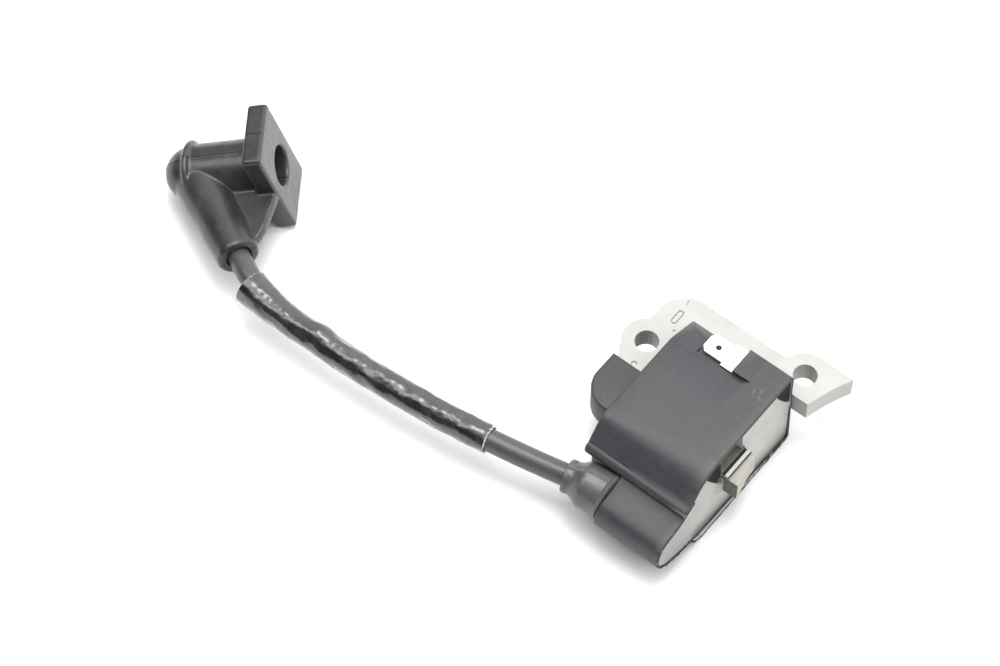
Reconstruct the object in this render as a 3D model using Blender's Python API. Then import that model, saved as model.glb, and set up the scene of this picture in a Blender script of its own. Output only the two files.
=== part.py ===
"""Ignition coil of a small two-stroke engine, with its high-tension lead, sleeve and plug boot.

Lengths are in millimetres on a drawing whose zero is the centre of bolt hole 1 on the core's
mounting face: X along the coil leg towards the flywheel, Y towards the bolted leg, Z up.
to_world() turns them into metres about the row's origin, DATUM.
"""

import math

import bmesh
import bpy
from mathutils import Matrix, Vector

MM = 0.001
DATUM = Vector((15.445, 11.9, 0.0))

# Core: a stack of equal sheets, U-shaped, both pole faces on the flywheel's radius
CORE_THICK = 5.65
SHEETS = 8
SHEET_GAP = 0.02
HOLE_RADIUS = 2.65
HOLE_2 = (30.89, 14.13)
EAR_RADIUS = 5.6
BOSS_RADIUS = 5.45
CORNER = (4.0, 8.3)
CORNER_RADIUS = 6.75
YOKE_X = (-2.75, 6.0)
BOLT_LEG_Y = (8.71, 15.05)
BOLT_LEG_TIP_Y = 19.53
COIL_LEG_Y = (-15.9, -7.7)
FLYWHEEL_CENTRE = (84.0, -3.25)
FLYWHEEL_RADIUS = 50.0

# Case: a moulded cup, open towards the flywheel
CASE_X = (5.7, 31.4)
CASE_TOP = 12.8
CASE_BOTTOM = -10.8
CASE_BACK = 8.4
CASE_WALL = 0.9
CASE_LEAN = 0.85
RIB_X = 29.3
TOWER_X = 15.3
TOWER_Y = -31.9
TOWER_WALL = 0.9
BORE_RADIUS = 3.7
SHELF = (-0.5, 8.6, 8.9)
SHELF_END_X = 24.2
BLOCK = (20.4, 1.9)
TAB_Z = (11.35, 12.15)
TAB_TAIL_Z = 6.3
TONGUE_X = -3.55
TONGUE_Y = (-18.95, -6.9)
TONGUE_Z = (-0.9, 6.5)
TONGUE_CORNER = 6.5
FIT_GAP = 0.3

# Spade tab: a flat blade with shoulders, its tail turned down inside the block
TAB_X = (11.9, 17.4, 25.6)
TAB_MID_Y = 4.85
TAB_HALF = 2.4
TAB_SHOULDER = 3.1
TAB_TAIL_HALF = 1.4
TAB_HOLE = (2.9, 0.65)
TAB_SLOT_Y = (2.3, 7.4)

# Two windings on spools round the coil leg, each spool a gap outside the last
BOBBIN_X = (7.9, 28.6)
BOBBIN_WALL = 0.8
WIRE_ROOM = (1.2, 1.9)
LEG_MID = ((COIL_LEG_Y[0] + COIL_LEG_Y[1]) / 2, CORE_THICK / 2)
LEG_HALF = ((COIL_LEG_Y[1] - COIL_LEG_Y[0]) / 2, CORE_THICK / 2)
LAYERS = FIT_GAP * 4 + BOBBIN_WALL * 2 + sum(WIRE_ROOM)
WINDING_Y = (LEG_MID[0] - LEG_HALF[0] - LAYERS, LEG_MID[0] + LEG_HALF[0] + LAYERS)
WINDING_Z = (LEG_MID[1] - LEG_HALF[1] - LAYERS, LEG_MID[1] + LEG_HALF[1] + LAYERS)

# Lead, its sleeve and its grommet
LEAD_RADIUS = 2.5
CONDUCTOR_RADIUS = 0.9
CONDUCTOR_BORE = 1.2
LEAD_END_X = 25.0
LEAD_BEND_CENTRE = (-60.9, 257.9)
LEAD_BEND_RADIUS = 298.6
BEND_X = (2.5, -66.0)
TIGHT_BEND_RADIUS = 29.9
SLEEVE_X = (-76.2, -13.1)
SLEEVE_BEND_RADIUS = 60.0
SLEEVE_BORE = 2.8
SLEEVE_WALL = 0.32
SLEEVE_FLARE = 0.95
GROMMET_TIP_X = 4.9
GROMMET_RADII = (5.3, 5.35, 5.35, 5.3, 5.25, 5.2, 4.8, 3.8, 3.35)

# Plug boot: its plug axis runs from the flange's face towards the domed end
BOOT_FACE = (-90.4, -12.56, 2.03)
BOOT_YAW = 215.04
BOOT_PITCH = 15.48
BOOT_ELBOW = -28.9
FLANGE = (25.85, 15.7, 4.37)
FLANGE_BEVEL = 0.8
BARREL_RADIUS = 6.7
DOME_RADIUS = 6.2
DOME_AT = 20.4
RIB_RADIUS = 7.35
PLUG_BORE = 4.55
PLUG_BORE_DEPTH = 22.5
NECK_AT = 20.1
NECK_LENGTH = 26.35
NECK_RADII = ((-2.0, 5.7), (6.0, 5.65), (12.0, 5.3), (19.0, 5.1), (23.5, 4.7), (26.35, 4.35))
NECK_BORE = 2.8
LEAD_STOPS_AT = 6.2

# Spring in the boot: wire radius, coil radius, turns, and its ends along the plug axis
SPRING_WIRE = 0.4
SPRING_RADIUS = 3.2
SPRING_TURNS = 4
SPRING_SPAN = (9.0, 16.4)

# Finishes: colour, roughness, metallic
STEEL = ((0.62, 0.61, 0.57), 0.42, 0.9)
BRIGHT = ((0.80, 0.80, 0.78), 0.25, 1.0)
COPPER = ((0.58, 0.25, 0.12), 0.35, 0.9)
CASE_BLACK = ((0.055, 0.054, 0.058), 0.55, 0.0)
RUBBER = ((0.022, 0.022, 0.024), 0.5, 0.0)
VARNISH = ((0.012, 0.012, 0.014), 0.15, 0.0)
RESIN = ((0.46, 0.46, 0.43), 0.5, 0.0)
NATURAL = ((0.62, 0.58, 0.46), 0.45, 0.0)
BOARD = ((0.10, 0.25, 0.13), 0.5, 0.0)
SILICON = ((0.03, 0.03, 0.03), 0.4, 0.0)


def to_world(point):
    """A drawing point in millimetres as a world point in metres."""
    return (Vector(point) - DATUM) * MM


def finish(name, look):
    """Principled material with the piece's colour, roughness and metallic value."""
    colour, roughness, metallic = look
    material = bpy.data.materials.new(name)
    material.use_nodes = True
    shader = material.node_tree.nodes["Principled BSDF"]
    shader.inputs["Base Color"].default_value = (*colour, 1.0)
    shader.inputs["Roughness"].default_value = roughness
    shader.inputs["Metallic"].default_value = metallic
    return material


def arc(centre, radius, start, end, steps):
    """Points along an arc, angles in degrees."""
    angles = [math.radians(start + (end - start) * i / steps) for i in range(steps + 1)]
    return [(centre[0] + radius * math.cos(a), centre[1] + radius * math.sin(a)) for a in angles]


def circle(centre, radius, steps=20):
    return arc(centre, radius, 0, 360, steps)[:-1]


def rounded_box(low, high, radius, steps=3):
    """Counter-clockwise outline of a rectangle with rounded corners."""
    (x0, y0), (x1, y1) = low, high
    corners = ((x1 - radius, y0 + radius, -90), (x1 - radius, y1 - radius, 0),
               (x0 + radius, y1 - radius, 90), (x0 + radius, y0 + radius, 180))
    return [p for x, y, turn in corners for p in arc((x, y), radius, turn, turn + 90, steps)]


def add_object(name, bm, look):
    """Object from a bmesh in drawing millimetres, with its faces turned outwards."""
    bmesh.ops.remove_doubles(bm, verts=bm.verts, dist=1e-5)
    bmesh.ops.recalc_face_normals(bm, faces=bm.faces)
    for vertex in bm.verts:
        vertex.co = to_world(vertex.co)
    mesh = bpy.data.meshes.new(name)
    bm.to_mesh(mesh)
    bm.free()
    obj = bpy.data.objects.new(name, mesh)
    bpy.context.scene.collection.objects.link(obj)
    mesh.materials.append(finish(name, look))
    mesh.shade_smooth()
    mesh.set_sharp_from_angle(angle=math.radians(35))
    return obj


def plate(name, loops, look, low, high, place=lambda a, b, c: (a, b, c)):
    """Flat plate between two heights, its first loop the outline and the others its holes."""
    bm = bmesh.new()
    for height in (low, high):
        edges = []
        for loop in loops:
            ring = [bm.verts.new(place(a, b, height)) for a, b in loop]
            edges += [bm.edges.new((p, q)) for p, q in zip(ring, ring[1:] + ring[:1])]
        bmesh.ops.triangle_fill(bm, use_beauty=True, edges=edges)
    bm.verts.ensure_lookup_table()
    half = len(bm.verts) // 2
    start = 0
    for loop in loops:
        size = len(loop)
        for i in range(size):
            p, q = start + i, start + (i + 1) % size
            bm.faces.new([bm.verts[n] for n in (p, q, q + half, p + half)])
        start += size
    return add_object(name, bm, look)


def along_x(a, b, c):
    """A section drawn in Y and Z, run along X; the mouth's plane leans out towards the bottom."""
    lean = CASE_LEAN * (CASE_TOP - b) / (CASE_TOP - CASE_BOTTOM) if c > 27.0 else 0.0
    return (c + lean, a, b)


def box(name, low, high, look=CASE_BLACK):
    outline = [(low[0], low[1]), (high[0], low[1]), (high[0], high[1]), (low[0], high[1])]
    return plate(name, [outline], look, low[2], high[2])


def skin(name, rings, look, closed=False):
    """Solid through rings of points; a ring of one point ends it, closed joins last to first."""
    bm = bmesh.new()
    made = [[bm.verts.new(p) for p in ring] for ring in rings]
    pairs = list(zip(made, made[1:] + made[:1])) if closed else list(zip(made, made[1:]))
    for first, second in pairs:
        size = max(len(first), len(second))
        for i in range(size):
            j = (i + 1) % size
            corners = [first[i % len(first)], first[j % len(first)],
                       second[j % len(second)], second[i % len(second)]]
            bm.faces.new(list(dict.fromkeys(corners)))
    if not closed:
        for ring in (made[0], made[-1]):
            if len(ring) > 2:
                bm.faces.new(ring)
    return add_object(name, bm, look)


def ring_about(centre, normal, radius, sides, up=Vector((0, 0, 1))):
    """Points of a circle round a line; radius 0 gives its centre alone."""
    if radius == 0:
        return [Vector(centre)]
    normal = Vector(normal).normalized()
    across = up.cross(normal).normalized()
    over = normal.cross(across)
    turns = [2 * math.pi * i / sides for i in range(sides)]
    return [Vector(centre) + radius * (math.cos(t) * across + math.sin(t) * over) for t in turns]


def turned(name, start, axis, profile, look, sides=24, closed=False):
    """Solid of revolution; profile holds (distance along the axis, radius) pairs."""
    axis = Vector(axis).normalized()
    up = Vector((0, 0, 1)) if abs(axis.z) < 0.9 else Vector((1, 0, 0))
    rings = [ring_about(Vector(start) + axis * d, axis, r, sides, up) for d, r in profile]
    return skin(name, rings, look, closed)


def swept(name, stations, look, sides=16, bore=0.0):
    """Tube or rod along stations of (point, direction, outer radius, inner radius)."""
    rings = [ring_about(p, d, outer, sides) for p, d, outer, inner in stations]
    if bore or any(inner for *_, inner in stations):
        back = [ring_about(p, d, inner or bore, sides) for p, d, outer, inner in reversed(stations)]
        return skin(name, rings + back, look, closed=True)
    return skin(name, rings, look)


def boolean(obj, tool, operation):
    """Joins or cuts with a hidden tool, which stays in the scene as a wire guide."""
    modifier = obj.modifiers.new(tool.name, "BOOLEAN")
    modifier.operation = operation
    modifier.solver = "EXACT"
    modifier.object = tool
    tool.hide_render = True
    tool.display_type = "WIRE"


def join(obj, *tools):
    for tool in tools:
        boolean(obj, tool, "UNION")
    return obj


def cut(obj, *tools):
    for tool in tools:
        boolean(obj, tool, "DIFFERENCE")
    return obj


def hang_on(pivot_name, pivot, objects):
    """Moves the objects' origins to a pivot and parents them to an empty there."""
    empty = bpy.data.objects.new(pivot_name, None)
    bpy.context.scene.collection.objects.link(empty)
    empty.location = to_world(pivot)
    for obj in objects:
        obj.data.transform(Matrix.Translation(-empty.location))
        obj.parent = empty


# Core ---------------------------------------------------------------------------------------


def on_flywheel(y):
    """X of the pole faces at this Y."""
    reach = math.sqrt(FLYWHEEL_RADIUS**2 - (y - FLYWHEEL_CENTRE[1]) ** 2)
    return FLYWHEEL_CENTRE[0] - reach


def pole_face(low, high, steps):
    """Points up a pole face."""
    heights = [low + (high - low) * i / steps for i in range(steps + 1)]
    return [(on_flywheel(y), y) for y in heights]


def core_outline():
    """The sheet's outline, counter-clockwise from the yoke's lower corner."""
    left, inner = YOKE_X
    corner = 1.2
    outline = arc((left + corner, COIL_LEG_Y[0] + corner), corner, 180, 270, 3)
    outline += pole_face(COIL_LEG_Y[0], COIL_LEG_Y[1], 2)
    outline += [(inner, COIL_LEG_Y[1]), (inner, BOLT_LEG_Y[0])]
    outline += pole_face(BOLT_LEG_Y[0], BOLT_LEG_TIP_Y, 4)
    outline += arc(HOLE_2, BOSS_RADIUS, 90, 160, 5)
    outline += [(24.6, BOLT_LEG_Y[1])]
    outline += arc(CORNER, CORNER_RADIUS, 90, 180, 8)
    outline += [(left, 6.1), (left - 0.25, 5.25)]
    outline += arc((0, 0), EAR_RADIUS, 121, 233, 9)
    outline += [(left - 0.3, -5.3), (left, -6.4)]
    return outline


def lamination(index):
    pitch = (CORE_THICK + SHEET_GAP) / SHEETS
    low = index * pitch
    loops = [core_outline(), circle((0, 0), HOLE_RADIUS, 18), circle(HOLE_2, HOLE_RADIUS, 18)]
    return plate(f"core_lamination_{index + 1}", loops, STEEL, low, low + pitch - SHEET_GAP)


# Case ---------------------------------------------------------------------------------------


def body_section(inset=0.0):
    """Section of the winding chamber in Y and Z, inset from the outer face."""
    back, top, bottom = CASE_BACK - inset, CASE_TOP - inset, CASE_BOTTOM + inset
    section = [(back, bottom), (back, top), (-15.0, top)]
    section += arc((-19.0, 6.9 - inset * 0.6), 5.9 - inset * 0.4, 80, 140, 5)
    section += [(-26.6 + inset, 7.7 - inset * 0.6)]
    section += arc((-27.2 + inset, 5.9 - inset * 0.7), 1.7 - inset * 0.3, 95, 190, 4)
    section += [(-28.4 + inset, 4.5 - inset * 0.7), (-26.3 + inset, 1.9 - inset * 0.3)]
    section += [(-26.2 + inset, -7.0), (-24.2 + inset * 0.7, -9.6 + inset * 0.7)]
    section += [(-21.5, bottom)]
    return section


def tower_section(inset=0.0):
    """Section of the nose that holds the lead's socket."""
    section = [(-22.0, 7.9 - inset), (-26.0, 7.4 - inset), (-29.4, 5.5 - inset), (-33.0, 4.2 - inset)]
    section += arc((-34.1, -0.6), 4.0 - inset, 75, 235, 8)
    section += [(-31.0, -6.3 + inset), (-26.6, -7.8 + inset), (-22.0, -8.3 + inset)]
    return section


def tongue_outline():
    """The tab that caps the yoke's corner, rounded at its free corner."""
    low, high = TONGUE_Y
    turn = (TONGUE_X + TONGUE_CORNER, low + TONGUE_CORNER)
    corner = arc(turn, TONGUE_CORNER, 270, 180, 7)
    return [(CASE_X[0] + 0.6, high), (CASE_X[0] + 0.6, low)] + corner + [(TONGUE_X, high)]


def rib_sections(gap):
    """The two gussets inside the mouth: beside the leg's recess, and in the back top corner."""
    top = CASE_TOP - 0.4
    beside = [(-16.4 + gap, 3.8 - gap), (-16.4 + gap, top), (-20.6 - gap, top - 0.3), (-21.2 - gap, 10.6),
              (-19.6 - gap, 7.9 - gap), (-18.2 - gap, 5.6 - gap), (-17.2 - gap, 4.2 - gap)]
    corner = [(2.6 - gap, top), (3.3 - gap, 10.9 - gap), (4.7 - gap, 8.3 - gap),
              (6.1 - gap, 6.1 - gap), (7.2 - gap, 4.7 - gap), (7.9, 4.2 - gap), (7.9, top)]
    return beside, corner


def coil_case():
    start, end = CASE_X
    case = plate("coil_case", [body_section()], CASE_BLACK, start, end, along_x)
    tower = plate("case_tower", [tower_section()], CASE_BLACK, TOWER_X, end, along_x)
    tongue = plate("case_tongue", [tongue_outline()], CASE_BLACK, *TONGUE_Z)
    ridge, back, low = SHELF
    slope = [(ridge, CASE_TOP + 0.01), (back, low), (back + 1, low), (back + 1, CASE_TOP + 2),
             (ridge, CASE_TOP + 2)]
    shelf = plate("case_shelf", [slope], CASE_BLACK, start - 1, SHELF_END_X, along_x)
    block = box("case_block", (BLOCK[0], BLOCK[1], 4.0), (end, CASE_BACK, CASE_TOP))
    join(case, tower, tongue)
    cut(case, shelf)
    join(case, block)
    hollow = plate("case_hollow", [body_section(CASE_WALL)], CASE_BLACK, start + 1.5, end + 1, along_x)
    socket = plate("tower_hollow", [tower_section(TOWER_WALL)], CASE_BLACK, TOWER_X + 2, end + 1, along_x)
    under_shelf = [(ridge - 2.0, CASE_TOP + 1), (ridge - 2.0, CASE_TOP - CASE_WALL - 0.2),
                   (back, low - CASE_WALL - 0.4), (back, CASE_TOP + 1)]
    keep = plate("shelf_floor", [under_shelf], CASE_BLACK, start - 1, BLOCK[0] + 1.3, along_x)
    ridge_floor = box("ridge_floor", (BLOCK[0], ridge - 1.5, CASE_TOP - 2.2),
                      (SHELF_END_X + CASE_WALL, BLOCK[1] + CASE_WALL, CASE_TOP))
    cut(hollow, keep, ridge_floor)
    cut(case, hollow, socket)
    join(case, *[plate(f"case_rib_{i}", [rib], CASE_BLACK, RIB_X, end - 0.15, along_x)
                 for i, rib in enumerate(rib_sections(0.0))])
    leg = box("leg_slot", (YOKE_X[0] - FIT_GAP, COIL_LEG_Y[0] - FIT_GAP, -FIT_GAP),
              (start + 2, COIL_LEG_Y[1] + FIT_GAP, CORE_THICK + FIT_GAP))
    yoke = box("yoke_slot", (YOKE_X[0] - FIT_GAP, COIL_LEG_Y[0] - FIT_GAP, -FIT_GAP),
               (YOKE_X[1] + FIT_GAP, CASE_BACK + 2, CORE_THICK + FIT_GAP))
    bore = turned("lead_bore", (TOWER_X - 1, TOWER_Y, 0), (1, 0, 0),
                  [(0, BORE_RADIUS), (5, BORE_RADIUS)], CASE_BLACK)
    tab_notch = box("tab_notch", (11.6, 1.4, 11.05), (BLOCK[0], CASE_BACK + 1, CASE_TOP + 1))
    tab_slot = box("tab_slot", (BLOCK[0] - 1, TAB_SLOT_Y[0], 11.05), (BLOCK[0] + 5.8, TAB_SLOT_Y[1], 12.45))
    ground_slot = box("ground_slot", (11.4, CASE_BACK - 3, 1.2), (14.6, CASE_BACK + 1, 3.6))
    return cut(case, leg, yoke, bore, tab_notch, tab_slot, ground_slot)


def potting():
    """Resin that fills the case round the windings, dished at its open face."""
    start, end = CASE_X[0] + 1.5 + FIT_GAP, CASE_X[1] - 0.25
    fill = plate("potting", [body_section(CASE_WALL + FIT_GAP)], RESIN, start, end, along_x)
    nose = plate("nose_fill", [tower_section(TOWER_WALL + FIT_GAP)], RESIN, TOWER_X + 2.4, end, along_x)
    ridge, back, low = SHELF
    slope = [(ridge - 2.3, CASE_TOP), (ridge - 2.3, CASE_TOP - CASE_WALL - 0.55),
             (back, low - CASE_WALL - 0.75), (back, CASE_TOP)]
    shelf = plate("fill_shelf", [slope], RESIN, start - 1, BLOCK[0] + 1.7, along_x)
    ridge_room = box("ridge_room", (BLOCK[0], ridge - 1.8, CASE_TOP - 2.5),
                     (SHELF_END_X + CASE_WALL + FIT_GAP, BLOCK[1] + CASE_WALL + FIT_GAP, CASE_TOP))
    windings = box("winding_room", (start - 1, WINDING_Y[0] - FIT_GAP, WINDING_Z[0] - FIT_GAP),
                   (BOBBIN_X[1] + FIT_GAP, WINDING_Y[1] + FIT_GAP, WINDING_Z[1] + FIT_GAP))
    leg = box("leg_room", (BOBBIN_X[0], COIL_LEG_Y[0] - FIT_GAP, -FIT_GAP),
              (end + 1, COIL_LEG_Y[1] + FIT_GAP, CORE_THICK + 1.2))
    recess = box("leg_recess", (end - 2.2, COIL_LEG_Y[0] - FIT_GAP, CORE_THICK - 0.4),
                 (end + 1, COIL_LEG_Y[1] + FIT_GAP, CASE_TOP))
    parts = box("electronics_room", (start - 1, -1.6, -8.6), (27.6, 7.4, 6.6))
    tail = box("tab_room", (BLOCK[0] + 1.5, 1.9, 5.0), (26.4, 7.9, 12.5))
    socket = turned("socket_room", (TOWER_X, TOWER_Y, 0), (1, 0, 0), [(0, 2.9), (13.3, 2.9)], RESIN, 16)
    ribs = [plate(f"rib_room_{i}", [rib], RESIN, RIB_X - FIT_GAP, end + 1, along_x)
            for i, rib in enumerate(rib_sections(FIT_GAP / 2))]
    return cut(join(fill, nose), shelf, ridge_room, windings, leg, recess, parts, tail, socket, *ribs)


# Windings and electronics ---------------------------------------------------------------------


def leg_ring(x, offset, corner=0.6):
    """Rounded rectangle round the coil leg at this X, this far out from it."""
    low = [LEG_MID[i] - LEG_HALF[i] - offset for i in (0, 1)]
    high = [LEG_MID[i] + LEG_HALF[i] + offset for i in (0, 1)]
    return [Vector((x, y, z)) for y, z in rounded_box(low, high, min(offset, corner + offset * 0.4), 2)]


def wound(name, profile, look):
    """Closed ring round the coil leg; profile holds (X, distance out from the leg) pairs."""
    return skin(name, [leg_ring(x, offset) for x, offset in profile], look, closed=True)


def bobbin(name, inner, flange, cheeks):
    """Spool round the leg with a cheek at each end and between the sections."""
    start, end = BOBBIN_X
    thick, tube = 0.8, inner + BOBBIN_WALL
    profile = [(start, inner), (start, flange), (start + thick, flange), (start + thick, tube)]
    step = (end - start - thick) / cheeks
    for i in range(1, cheeks):
        x = start + i * step
        profile += [(x, tube), (x, flange), (x + thick, flange), (x + thick, tube)]
    profile += [(end - thick, tube), (end - thick, flange), (end, flange), (end, inner)]
    return wound(name, profile, NATURAL)


def windings():
    start, end = BOBBIN_X[0] + 0.8 + FIT_GAP, BOBBIN_X[1] - 0.8 - FIT_GAP
    inner = FIT_GAP
    primary = inner + BOBBIN_WALL + WIRE_ROOM[0]
    bobbin("primary_bobbin", inner, primary, 1)
    wire = (inner + BOBBIN_WALL + 0.05, primary - 0.1)
    wound("primary_winding", [(start, wire[0]), (start, wire[1]), (end, wire[1]), (end, wire[0])], COPPER)
    outer = primary + FIT_GAP
    secondary = outer + BOBBIN_WALL + WIRE_ROOM[1]
    bobbin("secondary_bobbin", outer, secondary, 1)
    wire = (outer + BOBBIN_WALL + 0.05, secondary - 0.15)
    wound("secondary_winding", [(start, wire[0]), (start, wire[1]), (end, wire[1]), (end, wire[0])], COPPER)


def kill_switch_tab():
    """Push-on blade with shoulders, and a tail that turns down to the circuit board."""
    tip, root, end = TAB_X
    face, inside = BLOCK[0] - 0.05, BLOCK[0] + 2.6
    side = [(tip, TAB_HALF - 1.0), (tip + 0.9, TAB_HALF), (root, TAB_HALF), (root, TAB_SHOULDER),
            (face, TAB_SHOULDER), (face, TAB_HALF), (inside, TAB_HALF), (inside, TAB_TAIL_HALF),
            (end, TAB_TAIL_HALF)]
    outline = [(x, TAB_MID_Y - y) for x, y in side] + [(x, TAB_MID_Y + y) for x, y in reversed(side)]
    hole = circle((tip + TAB_HOLE[0], TAB_MID_Y), TAB_HOLE[1], 12)
    blade = plate("kill_switch_tab", [outline, hole], BRIGHT, *TAB_Z)
    tail = box("tab_tail", (end - 0.8, TAB_MID_Y - TAB_TAIL_HALF, TAB_TAIL_Z),
               (end + 0.01, TAB_MID_Y + TAB_TAIL_HALF, TAB_Z[1] - 0.01), BRIGHT)
    return join(blade, tail)


def circuit():
    """Board with its switching transistor, trigger transistor and resistor, and the earth strip."""
    outline = [(8.6, -8.0), (26.9, -8.0), (26.9, 6.0), (8.6, 6.0)]
    board = plate("circuit_board", [outline], BOARD, 4.6, 5.8, lambda a, b, c: (a, c, b))
    box("switching_transistor", (9.4, 0.3, -6.6), (15.8, 4.3, 1.4), SILICON)
    turned("trigger_transistor", (19.6, 4.3, -3.0), (0, -1, 0), [(0, 2.2), (4.0, 2.2)], SILICON, 14)
    turned("timing_resistor", (17.6, 3.1, 3.6), (1, 0, 0),
           [(0, 0.7), (0.5, 1.1), (1.6, 1.1), (2.0, 0.9), (4.6, 0.9), (5.0, 1.1), (6.1, 1.1), (6.6, 0.7)],
           NATURAL, 12)
    box("ground_tab", (11.8, 6.1, 1.6), (14.2, CASE_BACK + 0.28, 2.4), BRIGHT)
    return board


def core_wedge():
    """Steel strip that locks the coil on the leg; its lip shows in front of the resin."""
    low, high = COIL_LEG_Y[0] + 0.15, COIL_LEG_Y[1] - 0.1
    top = CORE_THICK + 0.05
    section = [(29.3, top), (33.2, top), (33.2, top + 0.32), (32.15, top + 0.45), (31.9, top + 0.12),
               (31.65, top + 0.12), (31.5, top + 0.6), (29.3, top + 0.6)]
    return plate("core_wedge", [section], BRIGHT, low, high, lambda a, b, c: (a, c, b))


# Lead ---------------------------------------------------------------------------------------


def boot_axes():
    """Unit vectors of the boot: across its flange, level, and along the plug axis."""
    yaw, pitch = math.radians(BOOT_YAW), math.radians(BOOT_PITCH)
    plug = Vector((math.cos(yaw) * math.cos(pitch), math.sin(yaw) * math.cos(pitch), -math.sin(pitch)))
    level = Vector((-math.sin(yaw), math.cos(yaw), 0))
    return level.cross(plug), level, plug


ACROSS, LEVEL, PLUG = boot_axes()
NECK = math.cos(math.radians(BOOT_ELBOW)) * LEVEL + math.sin(math.radians(BOOT_ELBOW)) * PLUG
NECK_ROOT = Vector(BOOT_FACE) + PLUG * NECK_AT
NECK_MOUTH = NECK_ROOT + NECK * NECK_LENGTH


def on_lead_bend(x):
    """Point and direction (towards the boot) of the lead's long bend at this X."""
    dx = x - LEAD_BEND_CENTRE[0]
    drop = math.sqrt(LEAD_BEND_RADIUS**2 - dx**2)
    point = Vector((x, LEAD_BEND_CENTRE[1] - drop, 0))
    return point, Vector((-drop, -dx, 0)).normalized()


def side_bend(start, heading, radius, turn, steps, first=1):
    """Stations round a bend that turns clockwise, seen from above."""
    centre = start + radius * Vector((heading.y, -heading.x, 0))
    out = start - centre
    return [(centre + Matrix.Rotation(-turn * i / steps, 3, "Z") @ out,
             Matrix.Rotation(-turn * i / steps, 3, "Z") @ heading) for i in range(first, steps + 1)]


def smooth_way(start, end, steps):
    """Stations on a cubic between two (point, direction) ends, the first left out."""
    (p0, d0), (p3, d3) = start, end
    reach = (p3 - p0).length / 3
    p1, p2 = p0 + d0.normalized() * reach, p3 - d3.normalized() * reach
    stations = []
    for i in range(1, steps + 1):
        t = i / steps
        s = 1 - t
        point = s**3 * p0 + 3 * s * s * t * p1 + 3 * s * t * t * p2 + t**3 * p3
        slope = 3 * s * s * (p1 - p0) + 6 * s * t * (p2 - p1) + 3 * t * t * (p3 - p2)
        stations.append((point, slope.normalized()))
    return stations


def lead_path():
    """The lead's centre line from the tower to inside the boot."""
    first, last = on_lead_bend(BEND_X[0]), on_lead_bend(BEND_X[1])
    inside = (Vector((TOWER_X + 1.0, TOWER_Y, 0)), Vector((-1, 0, 0)))
    path = [(Vector((LEAD_END_X, TOWER_Y, 0)), Vector((-1, 0, 0))), inside]
    path += smooth_way(inside, first, 5)
    steps = 9
    path += [on_lead_bend(BEND_X[0] + (BEND_X[1] - BEND_X[0]) * i / steps) for i in range(1, steps + 1)]
    mouth = NECK_MOUTH + NECK * 3.0
    path += smooth_way(last, (mouth, -NECK), 6)
    path += [(NECK_MOUTH, -NECK), (NECK_ROOT + NECK * LEAD_STOPS_AT, -NECK)]
    return path


def lead():
    path = lead_path()
    swept("lead_jacket", [(p, d, LEAD_RADIUS, CONDUCTOR_BORE) for p, d in path], RUBBER, 16)
    swept("lead_conductor", [(p, d, CONDUCTOR_RADIUS, 0) for p, d in path], COPPER, 8)


def ht_output_pin():
    """Pointed screw that takes the secondary's output into the lead's end."""
    profile = [(0, 0), (0.6, 0.5), (2.2, 0.62), (2.2, 1.5), (3.2, 1.5)]
    return turned("ht_output_pin", (LEAD_END_X + 0.1, TOWER_Y, 0), (1, 0, 0), profile, BRIGHT, 12)


def lead_grommet():
    """Rubber collar round the lead where it enters the tower."""
    into_coil = Vector((-1, 0, 0))
    shoulder = (Vector((TOWER_X - 0.05, TOWER_Y, 0)), into_coil)
    way = [(Vector((TOWER_X + 2.0, TOWER_Y, 0)), into_coil), shoulder, shoulder]
    way += smooth_way(shoulder, on_lead_bend(GROMMET_TIP_X), 8)
    radii = (BORE_RADIUS - 0.25, BORE_RADIUS - 0.25) + GROMMET_RADII
    stations = [(p, d, r, LEAD_RADIUS + FIT_GAP) for (p, d), r in zip(way, radii)]
    return swept("lead_grommet", stations, RUBBER, 20)


def lead_sleeve():
    """Loose varnished sleeve, flared where it passes the lead's tighter bend."""
    start = on_lead_bend(BEND_X[1])
    length = BEND_X[1] - SLEEVE_X[0]
    flared = side_bend(start[0], start[1], SLEEVE_BEND_RADIUS, length / SLEEVE_BEND_RADIUS, 4)
    steps = 6
    reach = BEND_X[1] - SLEEVE_X[1]
    straight = [on_lead_bend(SLEEVE_X[1] + reach * i / steps) for i in range(steps + 1)]
    stations = [(p, d, SLEEVE_BORE + SLEEVE_WALL, SLEEVE_BORE) for p, d in straight]
    for i, (p, d) in enumerate(flared):
        bore = SLEEVE_BORE + SLEEVE_FLARE * (i + 1) / len(flared)
        stations.append((p, d, bore + SLEEVE_WALL, bore))
    return swept("lead_sleeve", stations, VARNISH, 20)


# Boot ---------------------------------------------------------------------------------------


def in_boot(across, level, plug):
    """Drawing point from the boot's own coordinates."""
    return Vector(BOOT_FACE) + ACROSS * across + LEVEL * level + PLUG * plug


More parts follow.
